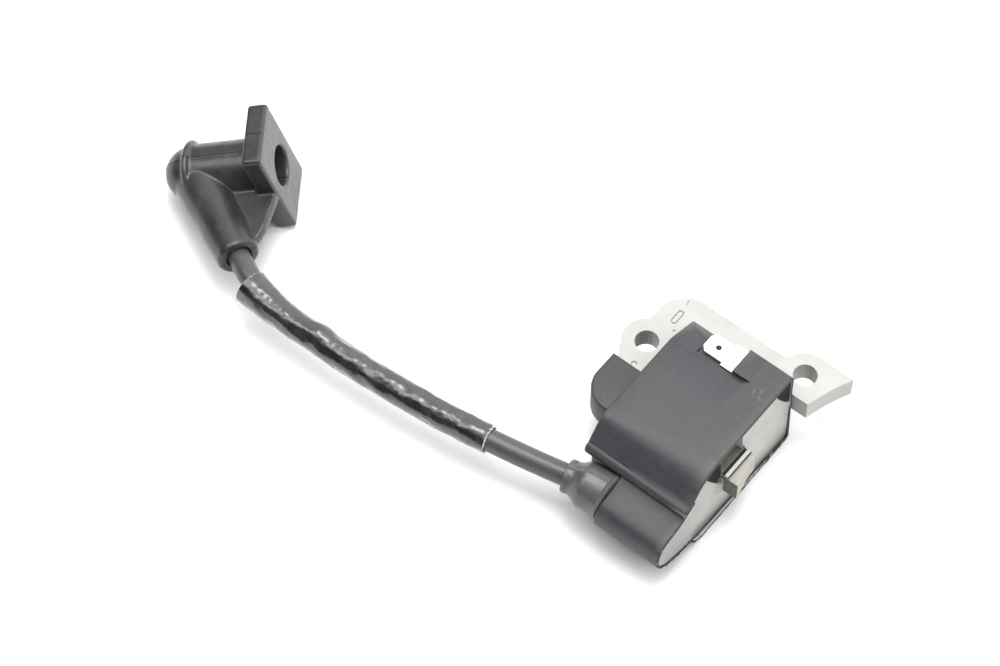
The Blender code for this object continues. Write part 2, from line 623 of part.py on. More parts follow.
def plug_boot():
    half_u, half_v = FLANGE[0] / 2, FLANGE[1] / 2
    outline = rounded_box((-half_u, -half_v), (half_u, half_v), FLANGE_BEVEL, 2)
    boot = plate("plug_boot", [outline], RUBBER, 0, FLANGE[2], in_boot)
    dome = [(DOME_AT + DOME_RADIUS * math.sin(math.radians(a)), DOME_RADIUS * math.cos(math.radians(a)))
            for a in (15, 35, 55, 75)]
    profile = [(FLANGE[2] - 1.5, BARREL_RADIUS), (DOME_AT - 1.2, BARREL_RADIUS - 0.1)]
    profile += [(DOME_AT - 0.9, RIB_RADIUS), (DOME_AT + 0.5, RIB_RADIUS), (DOME_AT + 0.8, DOME_RADIUS)]
    profile += dome + [(DOME_AT + DOME_RADIUS, 0)]
    barrel = turned("boot_barrel", BOOT_FACE, PLUG, profile, RUBBER, 28)
    neck = turned("boot_neck", NECK_ROOT, NECK, NECK_RADII, RUBBER, 24)
    web = [(half_v - 1.5, 0.35), (half_v, 0.35), (19.6, 4.0), (19.6, 8.5), (4.0, 19.0), (4.0, 1.5),
           (half_v - 1.5, 1.5)]
    gusset = plate("boot_web", [web], RUBBER, -1.1, 1.1, lambda a, b, c: in_boot(c, a, b))
    join(boot, barrel, neck, gusset)
    depths = [(0, PLUG_BORE), (PLUG_BORE_DEPTH - 2, PLUG_BORE), (PLUG_BORE_DEPTH, 3.0)]
    plug_bore = turned("plug_bore", in_boot(0, 0, -1), PLUG, depths, RUBBER, 24)
    lead_bore = turned("boot_lead_bore", NECK_ROOT + NECK, NECK,
                       [(0, NECK_BORE), (30, NECK_BORE)], RUBBER, 16)
    return cut(boot, plug_bore, lead_bore)


def plug_contact_spring():
    """Wire coil that grips the plug's terminal, with a tail towards the lead's end."""
    steps = 10
    total = SPRING_TURNS * steps
    low, high = SPRING_SPAN
    points = []
    for i in range(total + 1):
        angle = 2 * math.pi * i / steps
        across, level = SPRING_RADIUS * math.cos(angle), SPRING_RADIUS * math.sin(angle)
        points.append(in_boot(across, level, low + (high - low) * i / total))
    points += [in_boot(2.0, 1.6, 17.6), in_boot(0.6, 1.9, 18.4), NECK_ROOT + NECK * 4.4]
    rings = []
    for i, point in enumerate(points):
        ahead = points[min(i + 1, len(points) - 1)] - points[max(i - 1, 0)]
        rings.append(ring_about(point, ahead, SPRING_WIRE, 6, PLUG))
    return skin("plug_contact_spring", rings, BRIGHT)


def main():
    for obj in list(bpy.data.objects):
        bpy.data.objects.remove(obj)
    for index in range(SHEETS):
        lamination(index)
    coil_case()
    potting()
    windings()
    kill_switch_tab()
    circuit()
    core_wedge()
    lead()
    ht_output_pin()
    lead_grommet()
    hang_on("sleeve_pivot", (*LEAD_BEND_CENTRE, 0), [lead_sleeve()])
    hang_on("boot_pivot", NECK_MOUTH, [plug_boot(), plug_contact_spring()])


main()
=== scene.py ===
"""Visual model of the ignition coil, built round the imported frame.

Lengths in the shape code are millimetres on the part's drawing: zero is the centre of bolt hole 1 on the
core's mounting face, X along the coil leg, Y towards the bolted leg, Z up. world() turns them into metres.
"""

import math
import random

import bmesh
import bpy
from mathutils import Matrix, Vector, noise

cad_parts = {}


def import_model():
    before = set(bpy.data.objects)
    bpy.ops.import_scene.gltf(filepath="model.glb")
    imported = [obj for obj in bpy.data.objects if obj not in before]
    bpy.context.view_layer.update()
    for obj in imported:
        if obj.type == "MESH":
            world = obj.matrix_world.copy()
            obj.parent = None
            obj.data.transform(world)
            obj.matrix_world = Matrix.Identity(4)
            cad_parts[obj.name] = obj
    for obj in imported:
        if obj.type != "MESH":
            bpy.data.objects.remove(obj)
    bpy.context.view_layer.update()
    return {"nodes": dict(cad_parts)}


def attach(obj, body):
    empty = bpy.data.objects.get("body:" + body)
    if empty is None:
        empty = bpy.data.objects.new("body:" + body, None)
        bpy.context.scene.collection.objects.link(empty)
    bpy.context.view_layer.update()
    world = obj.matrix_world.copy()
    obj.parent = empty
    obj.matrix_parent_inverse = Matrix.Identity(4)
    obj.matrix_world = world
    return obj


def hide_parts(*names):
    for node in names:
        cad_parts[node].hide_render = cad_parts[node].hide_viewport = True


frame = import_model()
NODES = frame["nodes"]

MM = 0.001
DATUM = Vector((15.445, 11.9, 0.0))
FLOOR_Z = -11.45
SKY_LEAN = (0.30, 0.60, 0.75)
SKY_LEVELS = (0.10, 1.95)
SKY_EDGES = (0.14, 0.76)
CAMERA_TURN = (38.19, 59.06, 0.5)
CAMERA_LENS = 124.92
CAMERA_TARGET = (-27.43, -15.14, 0)
CAMERA_DISTANCE = 0.73756

CORE_THICK = 5.65
CORE_SHEETS = 8
CASE_X = (5.7, 31.4)
CASE_TOP = 12.8
CASE_BOTTOM = -10.8
CASE_BACK = 8.4
CASE_WALL = 0.55
CASE_LEAN = 0.85
TOWER_X = 15.3
TOWER_Y = -31.9
COIL_LEG_Y = (-15.9, -7.7)
YOKE_X = (-2.75, 6.0)
LEAD_RADIUS = 2.5
LEAD_BEND_CENTRE = (-60.9, 257.9)
LEAD_BEND_RADIUS = 298.6
SLEEVE_X = (-76.2, -13.1)
BOOT_FACE = Vector((-90.4, -12.56, 2.03))
BOOT_YAW, BOOT_PITCH, BOOT_ELBOW = 215.04, 15.48, -28.9
NECK_AT, NECK_LENGTH = 20.1, 26.35


def world(point):
    return (Vector(point) - DATUM) * MM


# Materials ------------------------------------------------------------------------------------


class Look:
    """A Principled material and short ways to add nodes to it."""

    def __init__(self, name, colour, roughness, metallic=0.0, **inputs):
        self.material = bpy.data.materials.new(name)
        self.material.use_nodes = True
        self.tree = self.material.node_tree
        self.shader = self.tree.nodes["Principled BSDF"]
        self.shader.inputs["Base Color"].default_value = (*colour, 1.0)
        self.shader.inputs["Roughness"].default_value = roughness
        self.shader.inputs["Metallic"].default_value = metallic
        for key, value in inputs.items():
            self.shader.inputs[key.replace("_", " ")].default_value = value
        self.place = self.tree.nodes.new("ShaderNodeTexCoord").outputs["Object"]
        self.height = None

    def node(self, kind, **values):
        made = self.tree.nodes.new(kind)
        for key, value in values.items():
            if key in made.inputs:
                made.inputs[key].default_value = value
            else:
                setattr(made, key, value)
        return made

    def link(self, source, target):
        self.tree.links.new(source, target)

    def stretched(self, scale, source=None):
        mapping = self.node("ShaderNodeMapping", Scale=scale)
        self.link(source or self.place, mapping.inputs["Vector"])
        return mapping.outputs["Vector"]

    def noise(self, size_mm, detail=3.0, roughness=0.55, source=None, distortion=0.0):
        """Noise whose features are about this many millimetres across."""
        made = self.node("ShaderNodeTexNoise", Scale=1000.0 / size_mm, Detail=detail, Roughness=roughness,
                         Distortion=distortion)
        self.link(source or self.place, made.inputs["Vector"])
        return made.outputs["Fac"]

    def ramp(self, source, stops):
        made = self.node("ShaderNodeValToRGB")
        points = made.color_ramp.elements
        while len(points) < len(stops):
            points.new(0.5)
        for point, (at, value) in zip(points, stops):
            point.position = at
            point.color = (*value, 1.0) if isinstance(value, tuple) else (value, value, value, 1.0)
        self.link(source, made.inputs["Fac"])
        return made.outputs["Color"]

    def mix(self, factor, first, second, blend="MIX"):
        made = self.node("ShaderNodeMix", data_type="RGBA", blend_type=blend)
        for socket, value in ((made.inputs[0], factor), (made.inputs[6], first), (made.inputs[7], second)):
            if isinstance(value, bpy.types.NodeSocket):
                self.link(value, socket)
            elif isinstance(value, tuple):
                socket.default_value = (*value, 1.0)
            else:
                socket.default_value = value
        return made.outputs[2]

    def shade(self, source, edges, first, second):
        """One colour where the source is low, the other where it is high."""
        return self.mix(self.ramp(source, ((edges[0], 0.0), (edges[1], 1.0))), first, second)

    def facing(self, axis):
        """How far the surface faces along a world axis."""
        split = self.node("ShaderNodeSeparateXYZ")
        self.link(self.node("ShaderNodeNewGeometry").outputs["Normal"], split.inputs[0])
        return split.outputs[axis]

    def sum(self, first, second, operation="ADD"):
        made = self.node("ShaderNodeMath", operation=operation)
        for socket, value in zip(made.inputs, (first, second)):
            if isinstance(value, bpy.types.NodeSocket):
                self.link(value, socket)
            else:
                socket.default_value = value
        return made.outputs[0]

    def colour(self, source):
        self.link(source, self.shader.inputs["Base Color"])
        return self

    def rough(self, source, low, high):
        made = self.node("ShaderNodeMapRange")
        made.inputs["To Min"].default_value = low
        made.inputs["To Max"].default_value = high
        self.link(source, made.inputs["Value"])
        self.link(made.outputs[0], self.shader.inputs["Roughness"])
        return self

    def bump(self, source, depth_mm, strength=1.0):
        """Adds relief of this depth."""
        made = self.node("ShaderNodeBump", Strength=strength, Distance=depth_mm * MM)
        self.link(source, made.inputs["Height"])
        if self.height is not None:
            self.link(self.height, made.inputs["Normal"])
        self.height = made.outputs["Normal"]
        self.link(self.height, self.shader.inputs["Normal"])
        return self

    def span(self, axis, zero, one):
        """0 to 1 between two world places along an axis."""
        split = self.node("ShaderNodeSeparateXYZ")
        self.link(self.place, split.inputs[0])
        made = self.node("ShaderNodeMapRange")
        made.inputs["From Min"].default_value = zero
        made.inputs["From Max"].default_value = one
        self.link(split.outputs[axis], made.inputs["Value"])
        return made.outputs[0]

    def near(self, point, full_mm, none_mm):
        """1 close to a drawing point, falling to 0 further away."""
        away = self.node("ShaderNodeVectorMath", operation="DISTANCE")
        self.link(self.place, away.inputs[0])
        away.inputs[1].default_value = world(point)
        return self.ramp(self.sum(away.outputs["Value"], 100.0, "MULTIPLY"),
                         ((full_mm / 10, 1.0), (none_mm / 10, 0.0)))

    def worn(self, base, light, low=0.51, high=0.58):
        """Base colour that turns lighter along edges and at points."""
        point = self.node("ShaderNodeNewGeometry").outputs["Pointiness"]
        return self.mix(self.ramp(point, ((low, 0.0), (high, 1.0))), base, light)


def case_look():
    look = Look("case_plastic", (0.1, 0.098, 0.104), 0.5)
    cloud = look.noise(9.0, 4.0)
    grain = look.noise(0.12, 2.0, 0.6)
    drag = look.noise(1.0, 3.0, 0.6, look.stretched((0.25, 1.0, 1.0)))
    base = look.shade(cloud, (0.3, 0.7), (0.024, 0.0225, 0.0265), (0.034, 0.0315, 0.037))
    mottle = look.ramp(look.noise(1.3, 3.0, 0.6), ((0.42, 0.0), (0.66, 0.55)))
    base = look.mix(mottle, base, (0.047, 0.037, 0.048))
    dust = look.ramp(look.noise(0.45, 2.0, 0.4), ((0.76, 0.0), (0.80, 0.28)))
    drawn_out = look.stretched((1.0, 0.25, 1.0))
    scuff = look.ramp(look.noise(2.2, 5.0, 0.7, drawn_out), ((0.66, 0.0), (0.78, 0.12)))
    base = look.mix(dust, base, (0.24, 0.23, 0.23))
    base = look.mix(scuff, base, (0.20, 0.19, 0.20))
    rub = look.ramp(look.noise(0.9, 5.0, 0.75, look.stretched((1.0, 0.4, 1.0))), ((0.52, 0.0), (0.66, 0.45)))
    rub = look.sum(rub, look.near((28.0, 0.9, 12.8), 0.5, 2.8), "MULTIPLY")
    base = look.mix(rub, base, (0.26, 0.25, 0.26))
    # Painted shade: the two gusset faces in the mouth and the low rim face that faces +X are darkened, and
    # given less specular, to show the shade that falls on them.
    corner = look.sum(look.near((31.3, -18.6, 8.6), 3.2, 3.9), look.near((31.3, 5.6, 9.4), 4.2, 4.9))
    corner = look.sum(corner, look.span("X", 0.01560, 0.01575), "MULTIPLY")
    mouthward = look.sum(look.facing("X"), 0.9, "GREATER_THAN")
    rim = look.sum(mouthward, look.span("Z", 0.004, 0.002), "MULTIPLY")
    corner = look.sum(corner, look.sum(rim, look.span("X", 0.0130, 0.0140), "MULTIPLY"), "MAXIMUM")
    # Painted shade laid over the masked gusset faces and low rim face.
    look.colour(look.mix(corner, look.worn(base, (0.13, 0.125, 0.13), 0.53, 0.62), (0.018, 0.018, 0.02)))
    shine = look.mix(corner, (0.58, 0.58, 0.58), (0.03, 0.03, 0.03))
    look.link(shine, look.shader.inputs["Specular IOR Level"])
    look.rough(look.sum(cloud, look.sum(grain, 0.3, "MULTIPLY")), 0.40, 0.58)
    return look.bump(grain, 0.03, 0.8).bump(drag, 0.05, 0.35).material


def flash_look():
    """Dark along the top of the mouth, whitish in patches below."""
    look = Look("case_flash", (0.5, 0.49, 0.47), 0.75)
    patch = look.ramp(look.noise(1.4, 4.0, 0.65), ((0.58, 0.0), (0.68, 0.7)))
    ragged = look.mix(patch, (0.035, 0.035, 0.035), (0.30, 0.29, 0.27))
    look.colour(look.mix(look.span("Z", 0.0035, 0.0065), ragged, (0.045, 0.045, 0.048)))
    return look.bump(look.noise(0.3, 4.0), 0.12).material


def resin_look():
    """Grey casting resin, with painted shade darkening it in the nose and towards the lower rim."""
    look = Look("potting_resin", (0.5, 0.5, 0.48), 0.5)
    cloud, fine = look.noise(5.0, 4.0), look.noise(0.35, 3.0)
    base = look.shade(cloud, (0.3, 0.72), (0.33, 0.33, 0.315), (0.42, 0.42, 0.40))
    speck = look.ramp(look.noise(0.45, 1.0, 0.4), ((0.72, 0.0), (0.76, 0.6)))
    base = look.mix(speck, base, (0.16, 0.16, 0.16))
    # Painted shade: darker in the nose and towards the bottom of the mouth.
    base = look.mix(look.span("Y", -0.030, -0.043), base, (0.26, 0.26, 0.25))
    base = look.mix(look.span("Z", -0.0035, -0.0105), base, (0.17, 0.17, 0.16))
    look.colour(base)
    look.rough(cloud, 0.34, 0.55)
    return look.bump(fine, 0.03, 0.6).bump(cloud, 0.25, 0.5).material


def steel_look(name="core_steel", colour=(0.43, 0.425, 0.405)):
    look = Look(name, colour, 0.4, 0.2)
    cloud, fine = look.noise(6.0, 4.0), look.noise(0.2, 3.0)
    roll = look.noise(0.5, 3.0, 0.6, look.stretched((0.06, 1.0, 1.0)))
    tone = tuple(c * 0.86 for c in colour)
    base = look.shade(cloud, (0.3, 0.7), tone, colour)
    fleck = look.ramp(look.noise(0.5, 2.0, 0.5), ((0.69, 0.0), (0.74, 0.7)))
    base = look.mix(fleck, base, (0.25, 0.235, 0.21))
    drawn_out = look.stretched((1.0, 0.12, 0.5))
    streak = look.ramp(look.noise(0.6, 4.0, 0.65, drawn_out), ((0.48, 0.0), (0.66, 0.6)))
    cream = look.mix(streak, (0.33, 0.317, 0.265), (0.17, 0.15, 0.11))
    # Painted shade: the -Y side face of the coil leg's tip is darkened where the resin heap beside it shades
    # it.
    side = look.sum(look.sum(look.facing("Y"), -0.7, "LESS_THAN"), 0.85, "MULTIPLY")
    cream = look.mix(side, cream, (0.10, 0.10, 0.09))
    tip = look.sum(look.span("X", 0.0160, 0.0163), look.span("Y", -0.0185, -0.0190), "MULTIPLY")
    look.colour(look.mix(tip, base, cream))
    look.rough(look.sum(cloud, look.sum(roll, 0.5, "MULTIPLY")), 0.28, 0.55)
    return look.bump(roll, 0.02, 0.5).bump(fine, 0.012, 0.6).material


def bright_look(name, colour, roughness=0.25, grain=(0.08, 1.0, 1.0)):
    look = Look(name, colour, roughness, 1.0)
    roll, cloud = look.noise(0.35, 3.0, 0.6, look.stretched(grain)), look.noise(2.5, 3.0)
    dull = tuple(c * 0.88 for c in colour)
    base = look.shade(cloud, (0.35, 0.7), dull, colour)
    look.colour(base)
    look.rough(look.sum(roll, cloud, "MULTIPLY"), roughness - 0.05, roughness + 0.35)
    return look.bump(roll, 0.012, 0.6).material


def wedge_look():
    """Steel strip: painted shade behind its lip where the case shades it, a painted shadow in its groove, its
    own steel colour along its lip.
    """
    look = Look("wedge_steel", (0.8, 0.8, 0.77), 0.35, 0.6)
    streak = look.noise(0.7, 4.0, 0.6, look.stretched((0.2, 1.0, 1.0)))
    # Painted shade: the streaked strip behind the lip is darkened where the case shades it.
    dull = look.mix(streak, (0.085, 0.085, 0.07), (0.17, 0.17, 0.145))
    # Painted shadow: a near-black line along the groove in front of the lip.
    groove_shadow = look.mix(look.span("X", 0.01606, 0.01612), dull, (0.012, 0.012, 0.012))
    bright = look.sum(look.span("X", 0.01670, 0.01674), look.span("X", 0.01748, 0.01744), "MULTIPLY")
    look.colour(look.mix(bright, groove_shadow, (0.42, 0.415, 0.38)))
    look.link(look.sum(bright, 0.25, "MULTIPLY"), look.shader.inputs["Metallic"])
    look.rough(streak, 0.3, 0.55)
    return look.bump(streak, 0.03, 0.6).material


def rubber_look(name, tone=0.024, roughness=0.30, dusty=0.25, sheen=0.0, parting=False):
    """Moulded rubber; parting draws the mould's dark line where the boot's two halves meet."""
    look = Look(name, (tone, tone, tone * 1.06), roughness)
    look.shader.inputs["Specular IOR Level"].default_value = 0.55
    look.shader.inputs["Sheen Weight"].default_value = sheen
    look.shader.inputs["Sheen Roughness"].default_value = 0.25
    cloud, fine = look.noise(4.0, 4.0), look.noise(0.16, 3.0, 0.6)
    base = look.shade(cloud, (0.35, 0.75), (tone * 0.8,) * 3, (tone * 1.3,) * 3)
    bloom = look.ramp(look.noise(1.3, 5.0, 0.7), ((0.56, 0.0), (0.78, dusty)))
    base = look.mix(bloom, base, (0.13, 0.13, 0.135))
    speck = look.ramp(look.noise(0.35, 1.0, 0.4), ((0.77, 0.0), (0.80, 0.35)))
    base = look.mix(speck, base, (0.2, 0.2, 0.2))
    if parting:
        side = look.node("ShaderNodeVectorMath", operation="DOT_PRODUCT")
        look.link(look.place, side.inputs[0])
        side.inputs[1].default_value = LEVEL
        off = look.sum(side.outputs["Value"], world(BOOT_FACE).dot(LEVEL), "SUBTRACT")
        off = look.sum(off, 0.0, "ABSOLUTE")
        line = look.ramp(look.sum(off, 4000.0, "MULTIPLY"), ((0.4, 1.0), (0.8, 0.0)))
        base = look.mix(line, base, (tone * 0.15,) * 3)
        look.bump(line, 0.12)
    look.colour(base)
    look.rough(look.sum(cloud, look.sum(fine, 0.4, "MULTIPLY")), roughness - 0.1, roughness + 0.16)
    return look.bump(fine, 0.006, 0.4).bump(cloud, 0.10, 0.35).material


def jacket_look():
    look = Look("lead_rubber", (0.05, 0.05, 0.053), 0.42)
    along = look.node("ShaderNodeUVMap", uv_map="length").outputs["UV"]
    streak = look.noise(1.0, 4.0, 0.6, look.stretched((3.2, 0.035, 1.0), along))
    cloud = look.noise(5.0, 3.0)
    base = look.shade(streak, (0.35, 0.68), (0.048, 0.048, 0.051), (0.078, 0.078, 0.082))
    speck = look.ramp(look.noise(0.4, 1.0, 0.4), ((0.75, 0.0), (0.79, 0.4)))
    look.colour(look.mix(speck, base, (0.3, 0.3, 0.3)))
    look.rough(look.sum(streak, cloud, "MULTIPLY"), 0.24, 0.52)
    return look.bump(streak, 0.06, 0.6).material


def varnish_look():
    look = Look("varnished_sleeve", (0.012, 0.012, 0.013), 0.16)
    look.shader.inputs["Coat Weight"].default_value = 1.0
    look.shader.inputs["Coat Roughness"].default_value = 0.20
    along = look.node("ShaderNodeUVMap", uv_map="length").outputs["UV"]
    turned = look.node("ShaderNodeMapping", Scale=(1.0, 1.0, 1.0), Rotation=(0.0, 0.0, math.radians(45)))
    look.link(along, turned.inputs["Vector"])
    weave = look.node("ShaderNodeTexChecker", Scale=1600.0)
    look.link(turned.outputs["Vector"], weave.inputs["Vector"])
    cloud, ripple = look.noise(2.4, 4.0), look.noise(1.2, 4.0, 0.6, look.stretched((1.0, 0.3, 1.0), along))
    base = look.shade(cloud, (0.4, 0.75), (0.008, 0.008, 0.009), (0.03, 0.03, 0.032))
    look.colour(base)
    look.rough(cloud, 0.18, 0.38)
    return look.bump(ripple, 0.09, 0.6).bump(weave.outputs["Fac"], 0.012, 0.3).material


def fibre_look():
    look = Look("sleeve_fibre", (0.62, 0.60, 0.54), 0.7)
    look.colour(look.mix(look.noise(0.6, 3.0), (0.45, 0.43, 0.38), (0.8, 0.79, 0.75)))
    return look.bump(look.noise(0.1), 0.02).material


def moulded_look(name, colour, roughness=0.5):
    look = Look(name, colour, roughness)
    cloud, fine = look.noise(3.0, 4.0), look.noise(0.2, 3.0)
    look.colour(look.shade(cloud, (0.35, 0.7), tuple(c * 0.85 for c in colour), colour))
    look.rough(cloud, roughness - 0.1, roughness + 0.12)
    return look.bump(fine, 0.02, 0.6).material


def wound_look(name, colour, pitch_mm):
    look = Look(name, colour, 0.35, 0.9)
    wire = look.node("ShaderNodeTexWave", Scale=1000.0 / pitch_mm / 6.28, Distortion=0.4, Detail=1.0)
    wire.wave_type, wire.bands_direction = "BANDS", "X"
    look.link(look.place, wire.inputs["Vector"])
    cloud = look.noise(2.0, 3.0)
    tone = look.shade(cloud, (0.3, 0.7), tuple(c * 0.7 for c in colour), colour)
    look.colour(look.mix(wire.outputs["Fac"], tuple(c * 0.45 for c in colour), tone))
    look.rough(cloud, 0.25, 0.5)
    return look.bump(wire.outputs["Fac"], 0.08, 0.8).material


# Shape helpers --------------------------------------------------------------------------------


def arc(centre, radius, start, end, steps):
    angles = [math.radians(start + (end - start) * i / steps) for i in range(steps + 1)]
    return [(centre[0] + radius * math.cos(a), centre[1] + radius * math.sin(a)) for a in angles]


def rounded_box(low, high, radius, steps=6):
    (x0, y0), (x1, y1) = low, high
    corners = ((x1 - radius, y0 + radius, -90), (x1 - radius, y1 - radius, 0),
               (x0 + radius, y1 - radius, 90), (x0 + radius, y0 + radius, 180))
    return [p for x, y, turn in corners for p in arc((x, y), radius, turn, turn + 90, steps)]


def inset(loop, distance):
    """The outline moved inwards, for a counter-clockwise loop; negative moves it out."""
    if not distance:
        return list(loop)
    area = sum(p[0] * q[1] - q[0] * p[1] for p, q in zip(loop, loop[1:] + loop[:1]))
    side = 1.0 if area > 0 else -1.0
    out = []
    for before, at, after in zip(loop[-1:] + loop[:-1], loop, loop[1:] + loop[:1]):
        a, b = (Vector(at) - Vector(before)).normalized(), (Vector(after) - Vector(at)).normalized()
        bisector = Vector((-(a.y + b.y), a.x + b.x)) * side
        if bisector.length < 1e-6:
            out.append(at)
            continue
        bisector.normalize()
        grow = min(1.6, 1.0 / max(0.4, bisector.dot(Vector((-a.y, a.x)) * side)))
        out.append((at[0] + bisector.x * distance * grow, at[1] + bisector.y * distance * grow))
    return out


def put(name, bm, material=None, sharp=32):
    """Mesh object from drawing millimetres."""
    bmesh.ops.remove_doubles(bm, verts=bm.verts, dist=1e-5)
    bmesh.ops.recalc_face_normals(bm, faces=bm.faces)
    for vertex in bm.verts:
        vertex.co = world(vertex.co)
    mesh = bpy.data.meshes.new(name)
    bm.to_mesh(mesh)
    bm.free()
    obj = bpy.data.objects.new(name, mesh)
    bpy.context.scene.collection.objects.link(obj)
    if material:
        mesh.materials.append(material)
    mesh.shade_smooth()
    mesh.set_sharp_from_angle(angle=math.radians(sharp))
    return obj


def skin(name, rings, material=None, closed=False, sharp=32, uv=None):
    """Solid through rings of points; uv gives the (round, along) millimetres of a ring's corner."""
    bm = bmesh.new()
    layer = bm.loops.layers.uv.new("length") if uv else None
    made = [[bm.verts.new(p) for p in ring] for ring in rings]
    pairs = list(zip(range(len(made)), list(range(1, len(made))) + ([0] if closed else [])))
    for first, second in pairs:
        size = max(len(made[first]), len(made[second]))
        for i in range(size):
            j = i + 1
            spots = [(first, i), (first, j), (second, j), (second, i)]
            corners = [made[r][k % len(made[r])] for r, k in spots]
            face = bm.faces.new(list(dict.fromkeys(corners)))
            if layer and len(face.verts) == 4:
                for loop, (r, k) in zip(face.loops, spots):
                    loop[layer].uv = Vector(uv(r, k / size)) * MM
    if not closed:
        for ring in (made[0], made[-1]):
            if len(ring) > 2:
                bm.faces.new(ring)
    return put(name, bm, material, sharp)


def lofted(name, levels, place, material=None, sharp=32):
    """Solid through (position, outline) levels."""
    return skin(name, [[place(a, b, at) for a, b in loop] for at, loop in levels], material, sharp=sharp)


def edge_levels(loop, low, high, low_round, high_round, steps=4):
    """Levels of a plate whose rims are rounded by these radii."""
    levels = []
    if low_round:
        for i in range(steps):
            a = math.radians(90 * i / steps)
            drawn_in = inset(loop, low_round * (1 - math.sin(a)))
            levels.append((low + low_round - low_round * math.cos(a), drawn_in))
        levels.append((low + low_round, loop))
    else:
        levels.append((low, loop))
    if high_round:
        levels.append((high - high_round, loop))
        for i in range(1, steps + 1):
            a = math.radians(90 * i / steps)
            drawn_in = inset(loop, high_round * (1 - math.cos(a)))
            levels.append((high - high_round + high_round * math.sin(a), drawn_in))
    else:
        levels.append((high, loop))
    return levels


def along_x(a, b, c):
    """Section in Y and Z, run along X; the mouth's plane leans out towards the bottom."""
    return (c + lean_at(b) * min(1.0, max(0.0, (c - 22.0) / 8.0)), a, b)


def lean_at(z):
    return CASE_LEAN * (CASE_TOP - z) / (CASE_TOP - CASE_BOTTOM)


def flat(a, b, c):
    return (a, b, c)


def ring_about(centre, normal, radius, sides, up=Vector((0, 0, 1))):
    """Circle round a line; radius may be a function of the turn in radians. Radius 0 is its centre."""
    if not callable(radius) and radius == 0:
        return [Vector(centre)]
    normal = Vector(normal).normalized()
    across = up.cross(normal).normalized()
    over = normal.cross(across)
    ring = []
    for i in range(sides):
        turn = 2 * math.pi * i / sides
        r = radius(turn) if callable(radius) else radius
        ring.append(Vector(centre) + r * (math.cos(turn) * across + math.sin(turn) * over))
    return ring


def turned(name, start, axis, profile, material=None, sides=64, sharp=32):
    axis = Vector(axis).normalized()
    up = Vector((0, 0, 1)) if abs(axis.z) < 0.9 else Vector((1, 0, 0))
    rings = [ring_about(Vector(start) + axis * d, axis, r, sides, up) for d, r in profile]
    return skin(name, rings, material, sharp=sharp)


def boolean(obj, tool, operation):
    modifier = obj.modifiers.new(tool.name, "BOOLEAN")
    modifier.operation, modifier.solver, modifier.object = operation, "MANIFOLD", tool
    tool.hide_render = True
    tool.display_type = "WIRE"


def settle(obj, *tools):
    """Applies the object's modifiers and removes the tools they used."""
    bpy.context.view_layer.update()
    mesh = bpy.data.meshes.new_from_object(obj.evaluated_get(bpy.context.evaluated_depsgraph_get()))
    obj.modifiers.clear()
    obj.data = mesh
    for tool in tools:
        bpy.data.objects.remove(tool)
    return obj


def shape(obj, joins=(), cuts=()):
    for tool in joins:
        boolean(obj, tool, "UNION")
    for tool in cuts:
        boolean(obj, tool, "DIFFERENCE")
    return settle(obj, *joins, *cuts)


def sharpen(obj, angle):
    obj.data.shade_smooth()
    obj.data.set_sharp_from_angle(angle=math.radians(angle))
    return obj


def remeshed(obj, voxel_mm, smooth=8, factor=0.5):
    """One even skin with its inner corners softened."""
    modifier = obj.modifiers.new("remesh", "REMESH")
    modifier.mode, modifier.voxel_size, modifier.use_smooth_shade = "VOXEL", voxel_mm * MM, True
    modifier = obj.modifiers.new("smooth", "SMOOTH")
    modifier.iterations, modifier.factor = smooth, factor
    return settle(obj)


def rippled(seed, x, y=0.0, z=0.0):
    return noise.noise(Vector((x + seed * 17.3, y - seed * 5.1, z + seed * 3.7)))


# The lead's way -------------------------------------------------------------------------------


def boot_axes():
    yaw, pitch = math.radians(BOOT_YAW), math.radians(BOOT_PITCH)
    plug = Vector((math.cos(yaw) * math.cos(pitch), math.sin(yaw) * math.cos(pitch), -math.sin(pitch)))
    level = Vector((-math.sin(yaw), math.cos(yaw), 0))
    return level.cross(plug), level, plug


ACROSS, LEVEL, PLUG = boot_axes()
NECK = math.cos(math.radians(BOOT_ELBOW)) * LEVEL + math.sin(math.radians(BOOT_ELBOW)) * PLUG
NECK_ROOT = BOOT_FACE + PLUG * NECK_AT
NECK_MOUTH = NECK_ROOT + NECK * NECK_LENGTH


def in_boot(across, level, plug):
    return BOOT_FACE + ACROSS * across + LEVEL * level + PLUG * plug


def on_bend(x):
    dx = x - LEAD_BEND_CENTRE[0]
    drop = math.sqrt(LEAD_BEND_RADIUS**2 - dx**2)
    return Vector((x, LEAD_BEND_CENTRE[1] - drop, 0)), Vector((-drop, -dx, 0)).normalized()


def smooth_way(start, end, steps):
    (p0, d0), (p3, d3) = start, end
    reach = (p3 - p0).length / 3
    p1, p2 = p0 + d0.normalized() * reach, p3 - d3.normalized() * reach
    way = []
    for i in range(1, steps + 1):
        t = i / steps
        s = 1 - t
        point = s**3 * p0 + 3 * s * s * t * p1 + 3 * s * t * t * p2 + t**3 * p3
        slope = 3 * s * s * (p1 - p0) + 6 * s * t * (p2 - p1) + 3 * t * t * (p3 - p2)
        way.append((point, slope.normalized()))
    return way


def lead_way():
    first, last = on_bend(2.5), on_bend(-66.0)
    inside = (Vector((TOWER_X + 1.0, TOWER_Y, 0)), Vector((-1, 0, 0)))
    way = [(Vector((25.0, TOWER_Y, 0)), Vector((-1, 0, 0))), inside] + smooth_way(inside, first, 16)
    way += [on_bend(2.5 - 68.5 * i / 60) for i in range(1, 61)]
    way += smooth_way(last, (NECK_MOUTH + NECK * 3.0, -NECK), 20)
    return way + [(NECK_MOUTH, -NECK), (NECK_ROOT + NECK * 6.2, -NECK)]


def lengths(way):
    total = [0.0]
    for (p, _), (q, _) in zip(way, way[1:]):
        total.append(total[-1] + (q - p).length)
    return total


# Case -----------------------------------------------------------------------------------------


